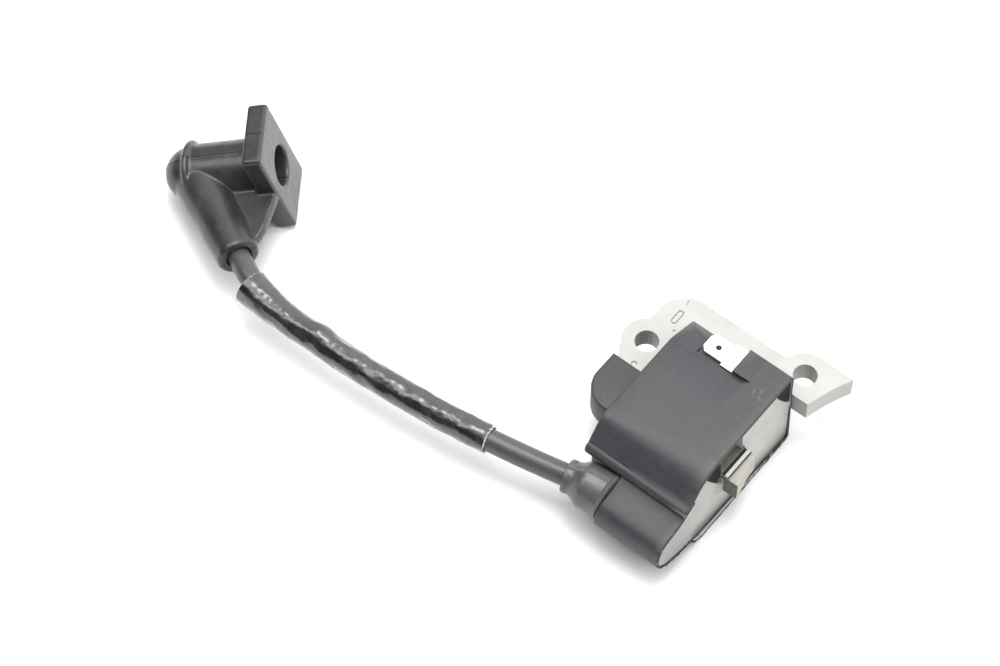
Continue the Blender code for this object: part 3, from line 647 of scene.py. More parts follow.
def body_section(x, crisp=False):
    """Section of the winding chamber: its front shoulder is squarer at the closed end than at the mouth."""
    t = min(1.0, max(0.0, (x - CASE_X[0]) / (CASE_X[1] - CASE_X[0])))
    s = 1 - t
    square = ((-20.6, 12.78), (-22.6, 12.6), (-23.6, 12.1), (-24.6, 11.2), (-25.6, 10.0), (-26.9, 8.4))
    drooped = ((-16.6, 12.78), (-19.4, 12.45), (-21.8, 11.7), (-23.4, 10.6), (-24.8, 9.2), (-26.4, 7.7))
    shoulder = [(a * s + b * t, c * s + d * t) for (a, c), (b, d) in zip(square, drooped)]
    section = [(CASE_BACK, CASE_BOTTOM), (CASE_BACK, CASE_TOP), (-8.0, CASE_TOP)]
    if not crisp:
        section = [(CASE_BACK, CASE_BOTTOM + 0.6), (CASE_BACK, CASE_TOP - 0.3), (CASE_BACK - 0.3, CASE_TOP),
                   (-8.0, CASE_TOP)]
    section += softened_run(shoulder)
    section += arc((-27.4, 5.75), 1.55, 95, 195, 8)
    section += [(-28.5, 4.4), (-27.4, 2.9), (-26.5, 1.9), (-26.25, 0.6), (-26.2, -6.6)]
    section += arc((-22.2, -6.8), 4.0, 185, 268, 6)
    return section + [(-10.0, CASE_BOTTOM)] + ([] if crisp else [(CASE_BACK - 0.6, CASE_BOTTOM)])


def softened_run(points):
    """An open run with its corners cut twice, ends kept."""
    for _ in range(2):
        out = [points[0]]
        for p, q in zip(points, points[1:]):
            out += [(p[0] * 0.75 + q[0] * 0.25, p[1] * 0.75 + q[1] * 0.25),
                    (p[0] * 0.25 + q[0] * 0.75, p[1] * 0.25 + q[1] * 0.75)]
        points = out + [points[-1]]
    return points


def tower_section():
    run = [(-22.0, 7.9), (-25.2, 7.35), (-27.4, 6.1), (-29.6, 4.75), (-32.0, 4.1), (-34.6, 3.6),
           (-36.4, 2.75), (-37.5, 1.2), (-37.9, -0.8), (-37.6, -2.9), (-36.0, -4.9), (-33.4, -6.1),
           (-30.0, -7.2), (-26.4, -7.9), (-22.0, -8.4)]
    return softened_run(run)


def tongue_outline():
    low, high, left, corner = -18.95, -6.9, -3.55, 6.5
    rounded = arc((left + corner, low + corner), corner, 180, 270, 20)
    return [(6.6, high), (left, high)] + rounded + [(6.6, low)]


def round_edge_steps(low, high, loop_at, low_round, high_round=0.0, steps=5, middles=6):
    """Levels along X of a section that changes with X, with a rounded closed end."""
    levels = []
    for i in range(steps):
        a = math.radians(90 * i / steps)
        drawn_in = inset(loop_at(low), low_round * (1 - math.sin(a)))
        levels.append((low + low_round * (1 - math.cos(a)), drawn_in))
    for i in range(middles + 1):
        x = low + low_round + (high - high_round - low - low_round) * i / middles
        levels.append((x, loop_at(x)))
    return levels


def gussets(gap=0.0):
    """Sections of the two corner gussets in the mouth, grown by a gap."""
    beside = [(-16.4 + gap, 3.8 - gap), (-16.4 + gap, 12.3), (-19.0, 12.0), (-21.0 - gap, 11.3),
              (-21.2 - gap, 10.6), (-19.6 - gap, 7.9 - gap), (-18.2 - gap, 5.6 - gap),
              (-17.2 - gap, 4.2 - gap)]
    corner = [(2.6 - gap, 12.4), (3.3 - gap, 10.9 - gap), (4.7 - gap, 8.3 - gap), (6.1 - gap, 6.1 - gap),
              (7.4 - gap, 4.4 - gap), (8.2, 3.9 - gap), (8.2, 12.4)]
    return beside, corner


def shelf_tool():
    """Cutter of the sloped shelf, its end ramped up in front of the block's side."""
    slope = [(-0.5, CASE_TOP + 0.01), (8.6, 8.9), (10.5, 8.9), (10.5, 15.0), (-0.5, 15.0)]
    levels = [(CASE_X[0] - 1, slope), (23.0, slope), (25.4, [(y, z + 1.15) for y, z in slope])]
    return lofted("shelf", levels, along_x)


def mouth_hollow():
    """Room inside the chamber, less the floor under the shelf."""
    stations = (CASE_X[0] + 1.5, 18.0, CASE_X[1] + 1)
    hollow = lofted("hollow", [(x, inset(body_section(x, True), CASE_WALL)) for x in stations], along_x)
    keep = [(-2.5, 15.0), (-2.5, CASE_TOP - CASE_WALL - 0.2), (8.6, 8.3), (12.0, 8.3), (12.0, 15.0)]
    floor = lofted("floor", [(CASE_X[0] - 1, keep), (21.5, keep)], along_x)
    ridge = box_tool("ridge", (20.0, -2.5, CASE_TOP - 1.9), (26.0, 3.0, CASE_TOP + 1))
    return shape(hollow, cuts=(floor, ridge))


def build_case(material):
    start, end = CASE_X
    case = lofted("coil_case_shell", round_edge_steps(start, end, body_section, 0.45), along_x, material)
    tower = lofted("tower", round_edge_steps(TOWER_X, end, lambda x: tower_section(), 0.4), along_x)
    tongue = lofted("tongue", edge_levels(tongue_outline(), -0.9, 6.5, 0.4, 0.55), flat)
    block_plan = [(20.4, 1.9), (33.0, 1.9), (33.0, CASE_BACK), (20.4, CASE_BACK)]
    block = lofted("block", edge_levels(block_plan, 4.0, CASE_TOP, 0, 0.18, 3), flat)
    beyond = [(-60, -30), (30, -30), (30, 30), (-60, 30)]
    trim = lofted("trim", [(end, beyond), (end + 5, beyond)], along_x)
    shape(case, joins=(tower, tongue))
    shape(case, cuts=(shelf_tool(),))
    shape(case, joins=(block,), cuts=(trim,))
    nose_room = inset(tower_section(), CASE_WALL)
    nose = lofted("nose", [(TOWER_X + 2, nose_room), (end + 1, nose_room)], along_x)
    shape(case, cuts=(mouth_hollow(), nose))
    shape(case, joins=[lofted(f"gusset_{i}", [(29.3, section), (end - 0.12, section)], along_x)
                       for i, section in enumerate(gussets())])
    cuts = [core_slot("leg_slot", start + 2, -7.4), core_slot("yoke_slot", YOKE_X[1] + 0.3, 10.4),
            box_tool("tab_notch", (11.6, 1.4, 11.05), (20.4, 9.4, 13.8)),
            box_tool("tab_slot", (19.4, 2.35, 11.05), (26.2, 7.35, 12.45)),
            turned("bore", (TOWER_X - 1, TOWER_Y, 0), (1, 0, 0), [(0, 3.7), (5, 3.7)], sides=40)]
    shape(case, cuts=cuts)
    return sharpen(case, 28)


def core_slot(name, far_x, far_y):
    """Cutter of the core's room, rounded like the core's corner so that the tongue's wall stays closed."""
    corner, radius = (YOKE_X[0] + 1.2, COIL_LEG_Y[0] + 1.2), 1.35
    left, low = corner[0] - radius, corner[1] - radius
    plan = arc(corner, radius, 180, 270, 8) + [(far_x, low), (far_x, far_y), (left, far_y)]
    return lofted(name, [(-0.3, plan), (CORE_THICK + 0.3, plan)], flat)


def box_tool(name, low, high):
    plan = [(low[0], low[1]), (high[0], low[1]), (high[0], high[1]), (low[0], high[1])]
    return lofted(name, [(low[2], plan), (high[2], plan)], flat)


def rim_outline():
    """The case's outer outline at its mouth: chamber and tower in one loop."""
    body, tower = body_section(CASE_X[1]), tower_section()
    upper = [p for p in body if p[1] > 6.8 or p[0] > 0]
    top = [p for p in upper if p[1] > 0]
    nose = [p for p in tower if p[0] < -25.0]
    low = [p for p in body if p[1] < -7.9]
    return top + nose + low


def spaced(loop, step):
    """A closed outline with points about this far apart."""
    dense = []
    for p, q in zip(loop, loop[1:] + loop[:1]):
        count = max(1, int(math.dist(p, q) / step))
        dense += [(p[0] + (q[0] - p[0]) * i / count, p[1] + (q[1] - p[1]) * i / count) for i in range(count)]
    return dense


def build_rim_flash(material):
    """Moulding flash round the mouth: a low line along the top, ragged along the back and the bottom."""
    dense = spaced(rim_outline(), 0.18)
    rings = []
    for i, (y, z) in enumerate(dense):
        before, after = Vector(dense[i - 1]), Vector(dense[(i + 1) % len(dense)])
        along = (after - before).normalized()
        out = Vector((along.y, -along.x))
        if out.dot(Vector((y + 8, z))) < 0:
            out = -out
        lower = max(0.0, min(1.0, (5.0 - z) / 3.0))
        ragged = max(0.0, 0.30 + 1.1 * rippled(3, y * 0.7, z * 0.7) + 0.5 * rippled(5, y * 2.6, z * 2.6))
        tall = 0.03 + (0.05 + 0.10 * lower) * ragged
        wide = 0.01 + (0.03 + 0.07 * lower) * max(0.0, 0.4 + rippled(7, y * 1.7, z * 1.7))
        x, inner, outer = CASE_X[1] + lean_at(z), -0.28, 0.02 + wide
        ring = ((-0.15, inner), (0.02 + tall * 0.6, inner), (tall, outer * 0.3), (-0.1, outer), (-0.35, 0.02))
        rings.append([(x + ahead, y + out.x * side, z + out.y * side) for ahead, side in ring])
    return skin("case_rim_flash", rings, material, closed=True, sharp=60)


# Resin ----------------------------------------------------------------------------------------


RECESS = rounded_box((-16.25, 4.9), (-8.9, 11.9), 0.7, 5)


def distance_to(point, loop):
    """Shortest distance from a point to a closed outline, in its plane."""
    best = 1e9
    for (ax, ay), (bx, by) in zip(loop, loop[1:] + loop[:1]):
        ux, uy, px, py = bx - ax, by - ay, point[0] - ax, point[1] - ay
        if (ax, ay) == loop[-1] and ux * ux + uy * uy > 9.0:
            continue
        t = max(0.0, min(1.0, (px * ux + py * uy) / (ux * ux + uy * uy + 1e-12)))
        best = min(best, (px - t * ux) ** 2 + (py - t * uy) ** 2)
    return math.sqrt(best)


def resin_face(name, low, high, walls, back, step=0.3):
    """Block whose +X face sags between the walls, climbs them, and heaps up beside the coil leg."""
    counts = [int((high[i] - low[i]) / step) for i in (0, 1)]
    across, up = [[low[i] + (high[i] - low[i]) * k / counts[i] for k in range(counts[i] + 1)] for i in (0, 1)]
    bm = bmesh.new()
    rows = []
    for y in across:
        row = []
        for z in up:
            climb = 0.42 * math.exp(-min(distance_to((y, z), wall) for wall in walls) / 0.42)
            sag = 0.10 * rippled(51, y * 0.16, z * 0.16) + 0.025 * rippled(53, y * 0.9, z * 0.9)
            beside = math.dist((y, z), (min(max(y, -16.2), -7.6), min(max(z, 0.6), 5.0)))
            heap = 1.6 * math.exp(-((beside / 1.15) ** 2)) * min(1.0, max(0.0, (-12.0 - y) / 3.0))
            row.append(bm.verts.new((CASE_X[1] - 0.52 + lean_at(z) + climb + sag + heap, y, z)))
        rows.append(row)
    for first, second in zip(rows, rows[1:]):
        for i in range(len(up) - 1):
            bm.faces.new((first[i], second[i], second[i + 1], first[i + 1]))
    rim = rows[0] + [row[-1] for row in rows[1:]] + rows[-1][-2::-1] + [row[0] for row in rows[-2:0:-1]]
    behind = [bm.verts.new((back, v.co.y, v.co.z)) for v in rim]
    for i in range(len(rim)):
        j = (i + 1) % len(rim)
        bm.faces.new((rim[i], rim[j], behind[j], behind[i]))
    bm.faces.new(behind)
    return put(name, bm)


def build_resin(material):
    """Casting resin that climbs the walls of the mouth and sags a little between them."""
    end = CASE_X[1]
    snug, loose = CASE_WALL + 0.03, 0.95
    chamber, nose_at = inset(body_section(end, True), snug), inset(tower_section(), snug)
    levels = [(x, inset(body_section(x, True), loose if x < 27.5 else snug))
              for x in (8.0, 18.0, 27.0, 28.0, end + 0.5)]
    fill = lofted("potting_fill", levels, along_x, material)
    narrow = inset(tower_section(), loose)
    nose_levels = [(TOWER_X + 2.6, narrow), (27.0, narrow), (28.0, nose_at), (end + 0.9, nose_at)]
    nose = lofted("nose_fill", nose_levels, along_x)
    shape(fill, joins=(nose,))
    shared = [i for i, (y, z) in enumerate(chamber) if y < -24.5 and -8.2 < z < 7.0]
    open_wall = chamber[shared[-1] + 1:] + chamber[:shared[0]]
    walls = [open_wall, [p for p in nose_at if p[0] < -25.0], RECESS, *[list(g) for g in gussets()]]
    face = resin_face("resin_face", (-38.6, -11.6), (9.2, 13.4), walls, 7.0)
    boolean(fill, face, "INTERSECT")
    settle(fill, face)
    keep = [(-2.8, 15.0), (-2.8, CASE_TOP - CASE_WALL - 0.6), (8.6, 7.8), (12.0, 7.8), (12.0, 15.0)]
    recess = [(end - 2.3, inset(RECESS, 0.25)), (end - 0.8, RECESS), (end + 1, inset(RECESS, -0.4))]
    cuts = [lofted("floor", [(4.0, keep), (22.0, keep)], along_x),
            box_tool("ridge_room", (20.0, -2.8, CASE_TOP - 2.2), (26.3, 3.3, CASE_TOP + 1)),
            box_tool("rooms", (4.0, -21.6, -5.7), (28.9, -2.0, 11.35)),
            box_tool("parts", (4.0, -1.6, -8.6), (27.6, 6.2, 6.6)),
            box_tool("tail", (21.9, 1.9, 5.0), (26.4, 6.3, 12.2)),
            box_tool("leg", (7.9, -16.0, -0.1), (36.0, -7.6, CORE_THICK + 1.2)),
            turned("socket", (TOWER_X, TOWER_Y, 0), (1, 0, 0), [(0, 2.9), (13.3, 2.9)], sides=32),
            lofted("recess", recess, along_x)]
    cuts += [lofted(f"gusset_room_{i}", [(29.2, section), (end + 2, section)], along_x)
             for i, section in enumerate(gussets(0.04))]
    shape(fill, cuts=cuts)
    return sharpen(fill, 40)


# Grommet, lead and sleeve -----------------------------------------------------------------------


def build_grommet(material):
    into = Vector((-1, 0, 0))
    shoulder = (Vector((TOWER_X - 0.05, TOWER_Y, 0)), into)
    way = smooth_way(shoulder, on_bend(4.9), 40)
    length = lengths([shoulder] + way)
    total = length[-1]

    def radius(s):
        """Bead at the nose, a long barrel, a cone, and a collar at the tip."""
        from_tip = total - s
        if s < 1.0:
            return 5.2 + 0.38 * math.sin(math.pi * s)
        if from_tip > 4.9:
            return 5.2
        if from_tip > 1.3:
            return 3.65 + 1.55 * (1 - math.cos(math.pi * (from_tip - 1.3) / 3.6)) / 2
        return 3.65 + 0.10 * math.sin(math.pi * from_tip / 1.3)

    def ring(p, d, r, s):
        fin = 0.22 if s / total > 0.55 else 0.12

        def at(turn):
            ridge = math.exp(-((math.sin((turn - math.pi / 2) / 2) * 2) ** 2) / 0.0016)
            return r + fin * ridge + 0.05 * rippled(11, s * 0.5, math.cos(turn) * 2, math.sin(turn) * 2)
        return ring_about(p, d, at, 72)

    inner_end = Vector((TOWER_X + 2.0, TOWER_Y, 0))
    rings = [ring_about(inner_end, into, 3.4, 72), ring_about(shoulder[0], into, 3.4, 72),
             ring_about(shoulder[0], into, 5.1, 72), ring_about(shoulder[0] + into * 0.12, into, 5.3, 72)]
    rings += [ring(p, d, radius(s), s) for (p, d), s in list(zip(way, length[1:]))[1:]]
    tip, heading = way[-1]
    rings += [ring_about(tip + heading * ahead, heading, r, 72)
              for ahead, r in ((0.15, 3.3), (0.2, 3.05), (0.05, 2.62))]
    back = [ring_about(p, d, 2.56, 72) for p, d in reversed(way[:-1])]
    back.append(ring_about(inner_end, into, 2.56, 72))
    return skin("lead_grommet_body", rings + back, material, closed=True)


def build_lead(material, copper):
    way = lead_way()
    along = lengths(way)
    rings = []
    for (p, d), s in zip(way, along):
        def at(turn, s=s):
            uneven = rippled(2, s * 0.12, math.cos(turn) * 1.4, math.sin(turn) * 1.4)
            return LEAD_RADIUS + 0.035 * uneven
        rings.append(ring_about(p, d, at, 40))
    back = [ring_about(p, d, 1.0, 40) for p, d in reversed(way)]
    both = along + list(reversed(along))
    jacket = skin("lead_jacket_skin", rings + back, material, closed=True,
                  uv=lambda r, t: (t * 15.7, both[r]))
    stranded = [ring_about(p, d, lambda turn: 0.86 + 0.06 * math.cos(turn * 7), 28) for p, d in way]
    core = skin("lead_conductor_strand", stranded, copper)
    return jacket, core


def sleeve_way(count=220):
    """Stations of (point, heading, bore, distance) from the coil's side to the boot's."""
    start = on_bend(-66.0)
    length = -66.0 - SLEEVE_X[0]
    stations = []
    straight = int(count * 0.84)
    for i in range(straight + 1):
        p, d = on_bend(SLEEVE_X[1] + (-66.0 - SLEEVE_X[1]) * i / straight)
        stations.append((p, d, 2.8))
    centre = start[0] + 60.0 * Vector((start[1].y, -start[1].x, 0))
    for i in range(1, count - straight + 1):
        turn = -length / 60.0 * i / (count - straight)
        rotate = Matrix.Rotation(turn, 3, "Z")
        bore = 2.8 + 0.95 * i / (count - straight)
        stations.append((centre + rotate @ (start[0] - centre), rotate @ start[1], bore))
    along = lengths([(p, d) for p, d, _ in stations])
    return [(p, d, bore, s) for (p, d, bore), s in zip(stations, along)]


def crinkle(turn, s):
    """How far the varnished sleeve stands out or in at this turn and distance."""
    c, q = math.cos(turn), math.sin(turn)
    folds = abs(rippled(21, s * 0.16, c * 1.1, q * 1.1)) * 2 - 0.55
    small = rippled(23, s * 0.24, c * 1.5, q * 1.5)
    tiny = rippled(25, s * 0.9, c * 3.2, q * 3.2)
    upper = max(0.0, math.cos(turn - math.radians(115))) ** 2
    lump = 0.6 * math.exp(-((s - 43.5) / 2.6) ** 2) - 0.3 * math.exp(-((s - 50.0) / 2.2) ** 2)
    return -0.18 * max(0.0, folds) + 0.17 * small + 0.06 * tiny + lump * upper


def build_sleeve(material, fibre):
    stations = sleeve_way()
    sides = 88
    outer, inner = [], []
    for p, d, bore, s in stations:
        swell = 0.14 * math.exp(-((s - 50.0) / 5.0) ** 2)

        def outside(turn, s=s, bore=bore, swell=swell):
            return bore + 0.34 + swell + crinkle(turn, s)

        def inside(turn, s=s, bore=bore, swell=swell):
            return bore + swell * 0.6 + min(0.1, crinkle(turn, s)) * 0.5

        outer.append(ring_about(p, d, outside, sides))
        inner.append(ring_about(p, d, inside, sides))
    along = [s for *_, s in stations]
    both = along + list(reversed(along))
    tube = skin("lead_sleeve_skin", outer + list(reversed(inner)), material, closed=True,
                uv=lambda r, t: (t * 19.5, both[r]))
    return tube, build_frays(stations, fibre)


def build_frays(stations, material):
    """Cut glass fibres standing out of the sleeve's two ends."""
    random.seed(5)
    bm = bmesh.new()
    ends = ((stations[0], -1.0, 95), (stations[-1], 1.0, 75))
    for (p, d, bore, s), way, count in ends:
        across = Vector((0, 0, 1)).cross(d).normalized()
        over = d.cross(across)
        for _ in range(count):
            turn = random.uniform(0, 2 * math.pi)
            out = math.cos(turn) * across + math.sin(turn) * over
            side = d.cross(out)
            root = p + out * (bore + random.uniform(0.08, 0.34)) - d * way * 0.25
            lean = out * random.uniform(-0.5, 0.45) + side * random.uniform(-1.2, 1.2)
            tip = root + d * way * random.uniform(0.35, 0.75) + lean * random.uniform(0.1, 0.45)
            middle = (root + tip) / 2 + out * random.uniform(0, 0.08)
            thick = random.uniform(0.035, 0.075)
            rings = [ring_about(q, tip - root, r, 5, Vector((0.3, 0.2, 0.93))) for q, r in
                     ((root, thick), (middle, thick), (tip, thick * 0.5))]
            made = [[bm.verts.new(q) for q in ring] for ring in rings]
            for first, second in zip(made, made[1:]):
                for i in range(5):
                    bm.faces.new([first[i], first[(i + 1) % 5], second[(i + 1) % 5], second[i]])
            bm.faces.new(made[0])
            bm.faces.new(made[-1])
        rim = []
        for i in range(72):
            turn = 2 * math.pi * i / 72
            out = math.cos(turn) * across + math.sin(turn) * over
            r = bore + 0.17 + crinkle(turn, s) * 0.6
            at = p + out * r + d * way * (0.02 + 0.16 * rippled(31, math.cos(turn) * 6, math.sin(turn) * 6))
            ahead = 0.13 + 0.1 * rippled(33, i * 0.7)
            rim.append([at + out * 0.17, at + d * way * ahead, at - out * 0.17, at - d * way * 0.12])
        made = [[bm.verts.new(q) for q in ring] for ring in rim]
        for first, second in zip(made, made[1:] + made[:1]):
            for i in range(4):
                bm.faces.new([first[i], first[(i + 1) % 4], second[(i + 1) % 4], second[i]])
    return put("lead_sleeve_frays", bm, material, 60)


# Boot -------------------------------------------------------------------------------------------


def build_boot(material):
    half_u, half_v, deep = 12.925, 7.85, 4.37
    outline = rounded_box((-half_u, -half_v), (half_u, half_v), 0.9, 5)
    boot = lofted("plug_boot_skin", edge_levels(outline, 0, deep, 0.5, 0.5, 4), in_boot, material)
    dome_at, dome = 20.4, 6.2
    profile = [(deep - 1.5, 6.7), (dome_at - 1.35, 6.6), (dome_at - 1.1, 6.7), (dome_at - 0.9, 7.35),
               (dome_at - 0.5, 7.5), (dome_at + 0.05, 7.5), (dome_at + 0.4, 7.15), (dome_at + 0.6, 6.5),
               (dome_at + 0.9, 6.2)]
    profile += [(dome_at + dome * math.sin(math.radians(a)), dome * math.cos(math.radians(a)))
                for a in range(12, 90, 6)]
    barrel = turned("barrel", BOOT_FACE, PLUG, profile + [(dome_at + dome, 0)], sides=72)
    neck_profile = [(-2.0, 5.7), (5.7, 5.65), (9.0, 5.5), (12.4, 5.25), (19.0, 5.15), (22.0, 5.0),
                    (24.0, 4.85), (25.6, 4.75), (26.1, 4.6), (26.35, 4.3)]
    neck = turned("neck", NECK_ROOT, NECK, neck_profile, sides=64)
    web = [(half_v - 1.5, 0.35), (9.0, 0.35), (16.9, 2.2), (19.6, 3.7), (19.6, 9.0), (4.0, 19.0), (4.0, 1.5),
           (half_v - 1.5, 1.5)]
    gusset = lofted("web", edge_levels(web, -1.2, 1.2, 0.25, 0.25, 3), lambda a, b, c: in_boot(c, a, b))
    plug_profile = [(0, 4.75), (1.0, 4.75), (1.25, 4.5), (20.5, 4.5), (22.5, 3.0)]
    plug_bore = turned("plug_bore", in_boot(0, 0, -1), PLUG, plug_profile, sides=64)
    lead_profile = [(0, 2.75), (23.8, 2.75), (25.5, 2.95), (30, 2.95)]
    lead_bore = turned("lead_bore", NECK_ROOT + NECK, NECK, lead_profile, sides=48)
    shape(boot, joins=(barrel, neck, gusset))
    shape(boot, cuts=(plug_bore, lead_bore))
    remeshed(boot, 0.26, 7)
    part_line(boot)
    return boot


def part_line(boot):
    """The mould's parting ridge, and a slight unevenness."""
    mesh = boot.data
    face, root = world(BOOT_FACE), world(NECK_ROOT)
    moves = []
    for vertex in mesh.vertices:
        away = (vertex.co - face) / MM
        a, b, c = away.dot(ACROSS), away.dot(LEVEL), away.dot(PLUG)
        ridge = 0.10 * math.exp(-(b / 0.16) ** 2) if c < 27.5 and abs(b) < 1 else 0.0
        along = (vertex.co - root).dot(NECK) / MM
        if along > 6.0:
            ridge = 0.10 * math.exp(-(a / 0.16) ** 2)
        wave = 0.03 * rippled(41, away.x * 0.5, away.y * 0.5, away.z * 0.5)
        inner = math.hypot(a, b) < 4.9 and c < 22
        moves.append(vertex.normal * MM * (0.0 if inner else ridge + wave))
    for vertex, move in zip(mesh.vertices, moves):
        vertex.co += move
    mesh.update()


def build_spring(material):
    points, steps = [], 22
    for i in range(4 * steps + 1):
        a = 2 * math.pi * i / steps
        points.append(in_boot(3.2 * math.cos(a), 3.2 * math.sin(a), 9.0 + 7.4 * i / (4 * steps)))
    points += [in_boot(2.7, 0.9, 17.0), in_boot(2.0, 1.6, 17.6), in_boot(1.2, 1.85, 18.1),
               in_boot(0.6, 1.9, 18.4), NECK_ROOT + NECK * 4.4]
    last = len(points) - 1
    rings = [ring_about(p, points[min(i + 1, last)] - points[max(i - 1, 0)], 0.4, 12, PLUG)
             for i, p in enumerate(points)]
    return skin("plug_contact_coil", rings, material)


# CAD nodes kept as they are, with better surfaces --------------------------------------------------


def softened_node(name, material, width_mm=0.05, segments=2, marks=()):
    """Gives a CAD node its finish, cuts any marks into it and rounds its edges, all by modifiers."""
    obj = NODES[name]
    obj.data.materials.clear()
    obj.data.materials.append(material)
    weld = obj.modifiers.new("weld", "WELD")
    weld.merge_threshold = 1e-6
    for mark in marks:
        boolean(obj, mark, "DIFFERENCE")
    bevel = obj.modifiers.new("bevel", "BEVEL")
    bevel.width, bevel.segments, bevel.limit_method = width_mm * MM, segments, "ANGLE"
    bevel.angle_limit = math.radians(40)
    obj.modifiers.new("flat faces", "WEIGHTED_NORMAL").keep_sharp = True
    return obj


def groove(name, loop, width, depth):
    """Cutter for a narrow groove along a closed outline on the core's top."""
    outer, inner = loop, inset(loop, width)
    bottom, top = CORE_THICK - depth, CORE_THICK + 0.1
    rings = [[(*p, top), (*q, top), (*q, bottom), (*p, bottom)] for p, q in zip(outer, inner)]
    return skin(name, rings, closed=True)


def top_marks():
    """Cutters of the interlock slot, the punch marks and a scratch on the core's top sheet."""
    scratch = [(0.8, 13.4), (1.02, 13.45), (1.34, 12.15), (1.12, 12.05)]
    return (groove("slot_mark", rounded_box((0.75, 6.9), (2.15, 10.6), 0.5, 5), 0.26, 0.4),
            turned("dimple", (1.2, -6.0, CORE_THICK - 0.35), (0, 0, 1), [(0, 0.5), (0.5, 0.75)], sides=24),
            turned("punch", (2.9, 5.6, CORE_THICK - 0.35), (0, 0, 1), [(0, 0.2), (0.5, 0.3)], sides=16),
            lofted("scratch", [(CORE_THICK - 0.25, scratch), (CORE_THICK + 0.1, scratch)], flat))


# Stage ----------------------------------------------------------------------------------------------


def build_stage():
    look = Look("floor", (0.88, 0.88, 0.88), 0.9)
    look.colour(look.mix(look.noise(60.0), (0.875, 0.875, 0.875), (0.885, 0.885, 0.885)))
    bm = bmesh.new()
    bmesh.ops.create_grid(bm, x_segments=2, y_segments=2, size=2600)
    for vertex in bm.verts:
        vertex.co.z = FLOOR_Z
    floor = put("stage_floor", bm, look.material)
    build_sky()
    lamp("overhead", (-0.07, 0.05, 1.0), 0.45, 6.4)
    lamp("left", (-0.52, -0.33, 0.86), 0.45, 3.0)


def build_sky():
    """Soft tent of light, brighter behind and above the object than on the camera's side."""
    sky = bpy.data.worlds.new("studio")
    sky.use_nodes = True
    tree = sky.node_tree
    way = tree.nodes.new("ShaderNodeTexCoord").outputs["Generated"]
    lean = tree.nodes.new("ShaderNodeVectorMath")
    lean.operation = "DOT_PRODUCT"
    lean.inputs[1].default_value = Vector(SKY_LEAN).normalized()
    tree.links.new(way, lean.inputs[0])
    level = tree.nodes.new("ShaderNodeMapRange")
    for key, value in zip(("From Min", "From Max", "To Min", "To Max"), (*SKY_EDGES, *SKY_LEVELS)):
        level.inputs[key].default_value = value
    tree.links.new(lean.outputs["Value"], level.inputs["Value"])
    tree.links.new(level.outputs[0], tree.nodes["Background"].inputs["Strength"])
    tree.nodes["Background"].inputs["Color"].default_value = (1, 1, 1, 1)
    bpy.context.scene.world = sky


def lamp(name, at, size, power, aim=(-0.04, -0.03, 0.0)):
    light = bpy.data.lights.new(name, "AREA")
    light.shape, light.size, light.energy = "SQUARE", size, power
    made = bpy.data.objects.new(name, light)
    bpy.context.scene.collection.objects.link(made)
    made.location = Vector(at)
    made.rotation_euler = (Vector(aim) - Vector(at)).to_track_quat("-Z", "Y").to_euler()


def build_camera():
    azimuth, elevation, roll = (math.radians(a) for a in CAMERA_TURN)
    level = math.cos(elevation)
    back = Vector((math.sin(azimuth) * level, -math.cos(azimuth) * level, math.sin(elevation)))
    right = Vector((math.cos(azimuth), math.sin(azimuth), 0))
    up = back.cross(right)
    side = right * math.cos(roll) + up * math.sin(roll)
    top = up * math.cos(roll) - right * math.sin(roll)
    data = bpy.data.cameras.new("camera")
    data.sensor_width, data.lens = 36.0, CAMERA_LENS
    data.clip_start, data.clip_end = 0.01, 20
    camera = bpy.data.objects.new("camera", data)
    target = world(CAMERA_TARGET)
    turn = Matrix((side, top, back)).transposed().to_4x4()
    camera.matrix_world = Matrix.Translation(target + back * CAMERA_DISTANCE) @ turn
    bpy.context.scene.collection.objects.link(camera)
    bpy.context.scene.camera = camera


def place(obj, body, slot, *nodes):
    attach(obj, body)
    if nodes:
        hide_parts(*nodes)


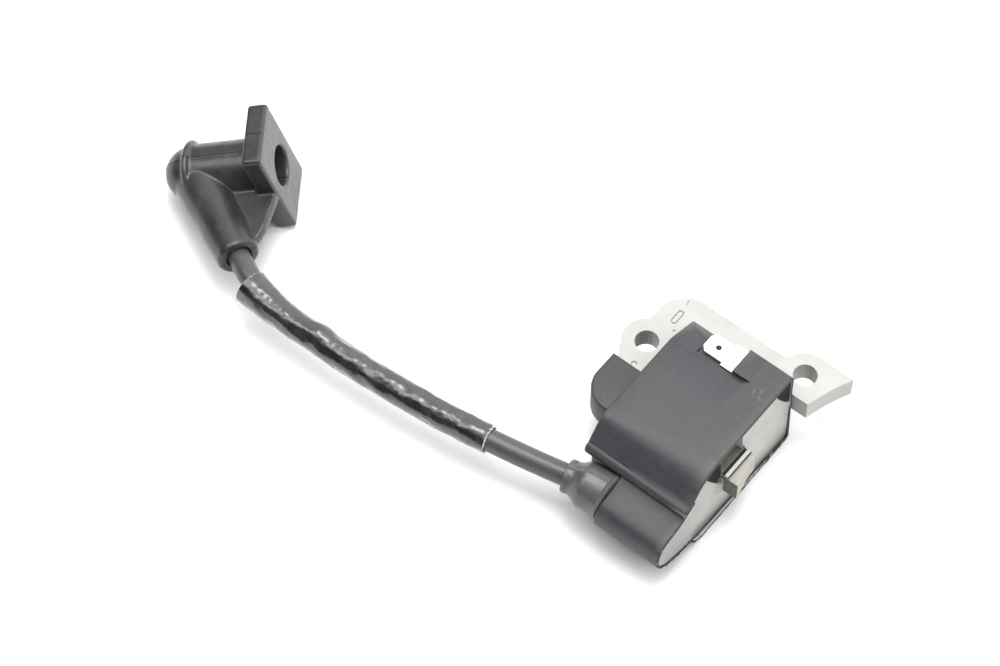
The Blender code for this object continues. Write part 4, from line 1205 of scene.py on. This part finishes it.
def main():
    steel, case, resin = steel_look(), case_look(), resin_look()
    for i in range(1, CORE_SHEETS + 1):
        softened_node(f"core_lamination_{i}", steel, marks=top_marks() if i == CORE_SHEETS else ())
    softened_node("kill_switch_tab", bright_look("tinned_terminal", (0.93, 0.93, 0.92), 0.22), 0.07)
    softened_node("ground_tab", bright_look("spring_steel", (0.75, 0.75, 0.73)), 0.05)
    softened_node("core_wedge", wedge_look(), 0.05)
    softened_node("ht_output_pin", bright_look("pin_brass", (0.75, 0.58, 0.30), 0.3), 0.04)
    nylon = moulded_look("bobbin_plastic", (0.62, 0.58, 0.46), 0.45)
    softened_node("primary_bobbin", nylon, 0.08)
    softened_node("secondary_bobbin", nylon, 0.08)
    softened_node("primary_winding", wound_look("copper_wire", (0.62, 0.27, 0.12), 0.35), 0.1)
    softened_node("secondary_winding", wound_look("fine_copper_wire", (0.55, 0.24, 0.11), 0.12), 0.1)
    softened_node("circuit_board", moulded_look("board_laminate", (0.07, 0.22, 0.10), 0.4), 0.05)
    black = moulded_look("component_black", (0.025, 0.025, 0.026), 0.45)
    softened_node("switching_transistor", black, 0.15)
    softened_node("trigger_transistor", black, 0.12)
    softened_node("timing_resistor", moulded_look("resistor_body", (0.62, 0.52, 0.36), 0.35), 0.1)

    place(build_case(case), "coil", "case_plastic", "coil_case")
    place(build_rim_flash(flash_look()), "coil", "case_plastic")
    place(build_resin(resin), "coil", "potting_resin", "potting")
    jacket, core = build_lead(jacket_look(), bright_look("lead_copper", (0.62, 0.30, 0.16), 0.35))
    place(jacket, "coil", "lead_rubber", "lead_jacket")
    place(core, "coil", "lead_copper", "lead_conductor")
    grommet = build_grommet(rubber_look("grommet_rubber", 0.085, 0.26, 0.3))
    place(grommet, "coil", "grommet_rubber", "lead_grommet")
    tube, frays = build_sleeve(varnish_look(), fibre_look())
    place(tube, "sleeve", "varnished_sleeve", "lead_sleeve")
    place(frays, "sleeve", "varnished_sleeve")
    boot = build_boot(rubber_look("boot_rubber", 0.028, 0.25, 0.2, 0.3, parting=True))
    place(boot, "boot", "boot_rubber", "plug_boot")
    spring = build_spring(bright_look("contact_steel", (0.75, 0.75, 0.73)))
    place(spring, "boot", "contact_steel", "plug_contact_spring")
    build_stage()
    build_camera()
    bpy.context.scene.view_settings.view_transform = "Standard"


main()
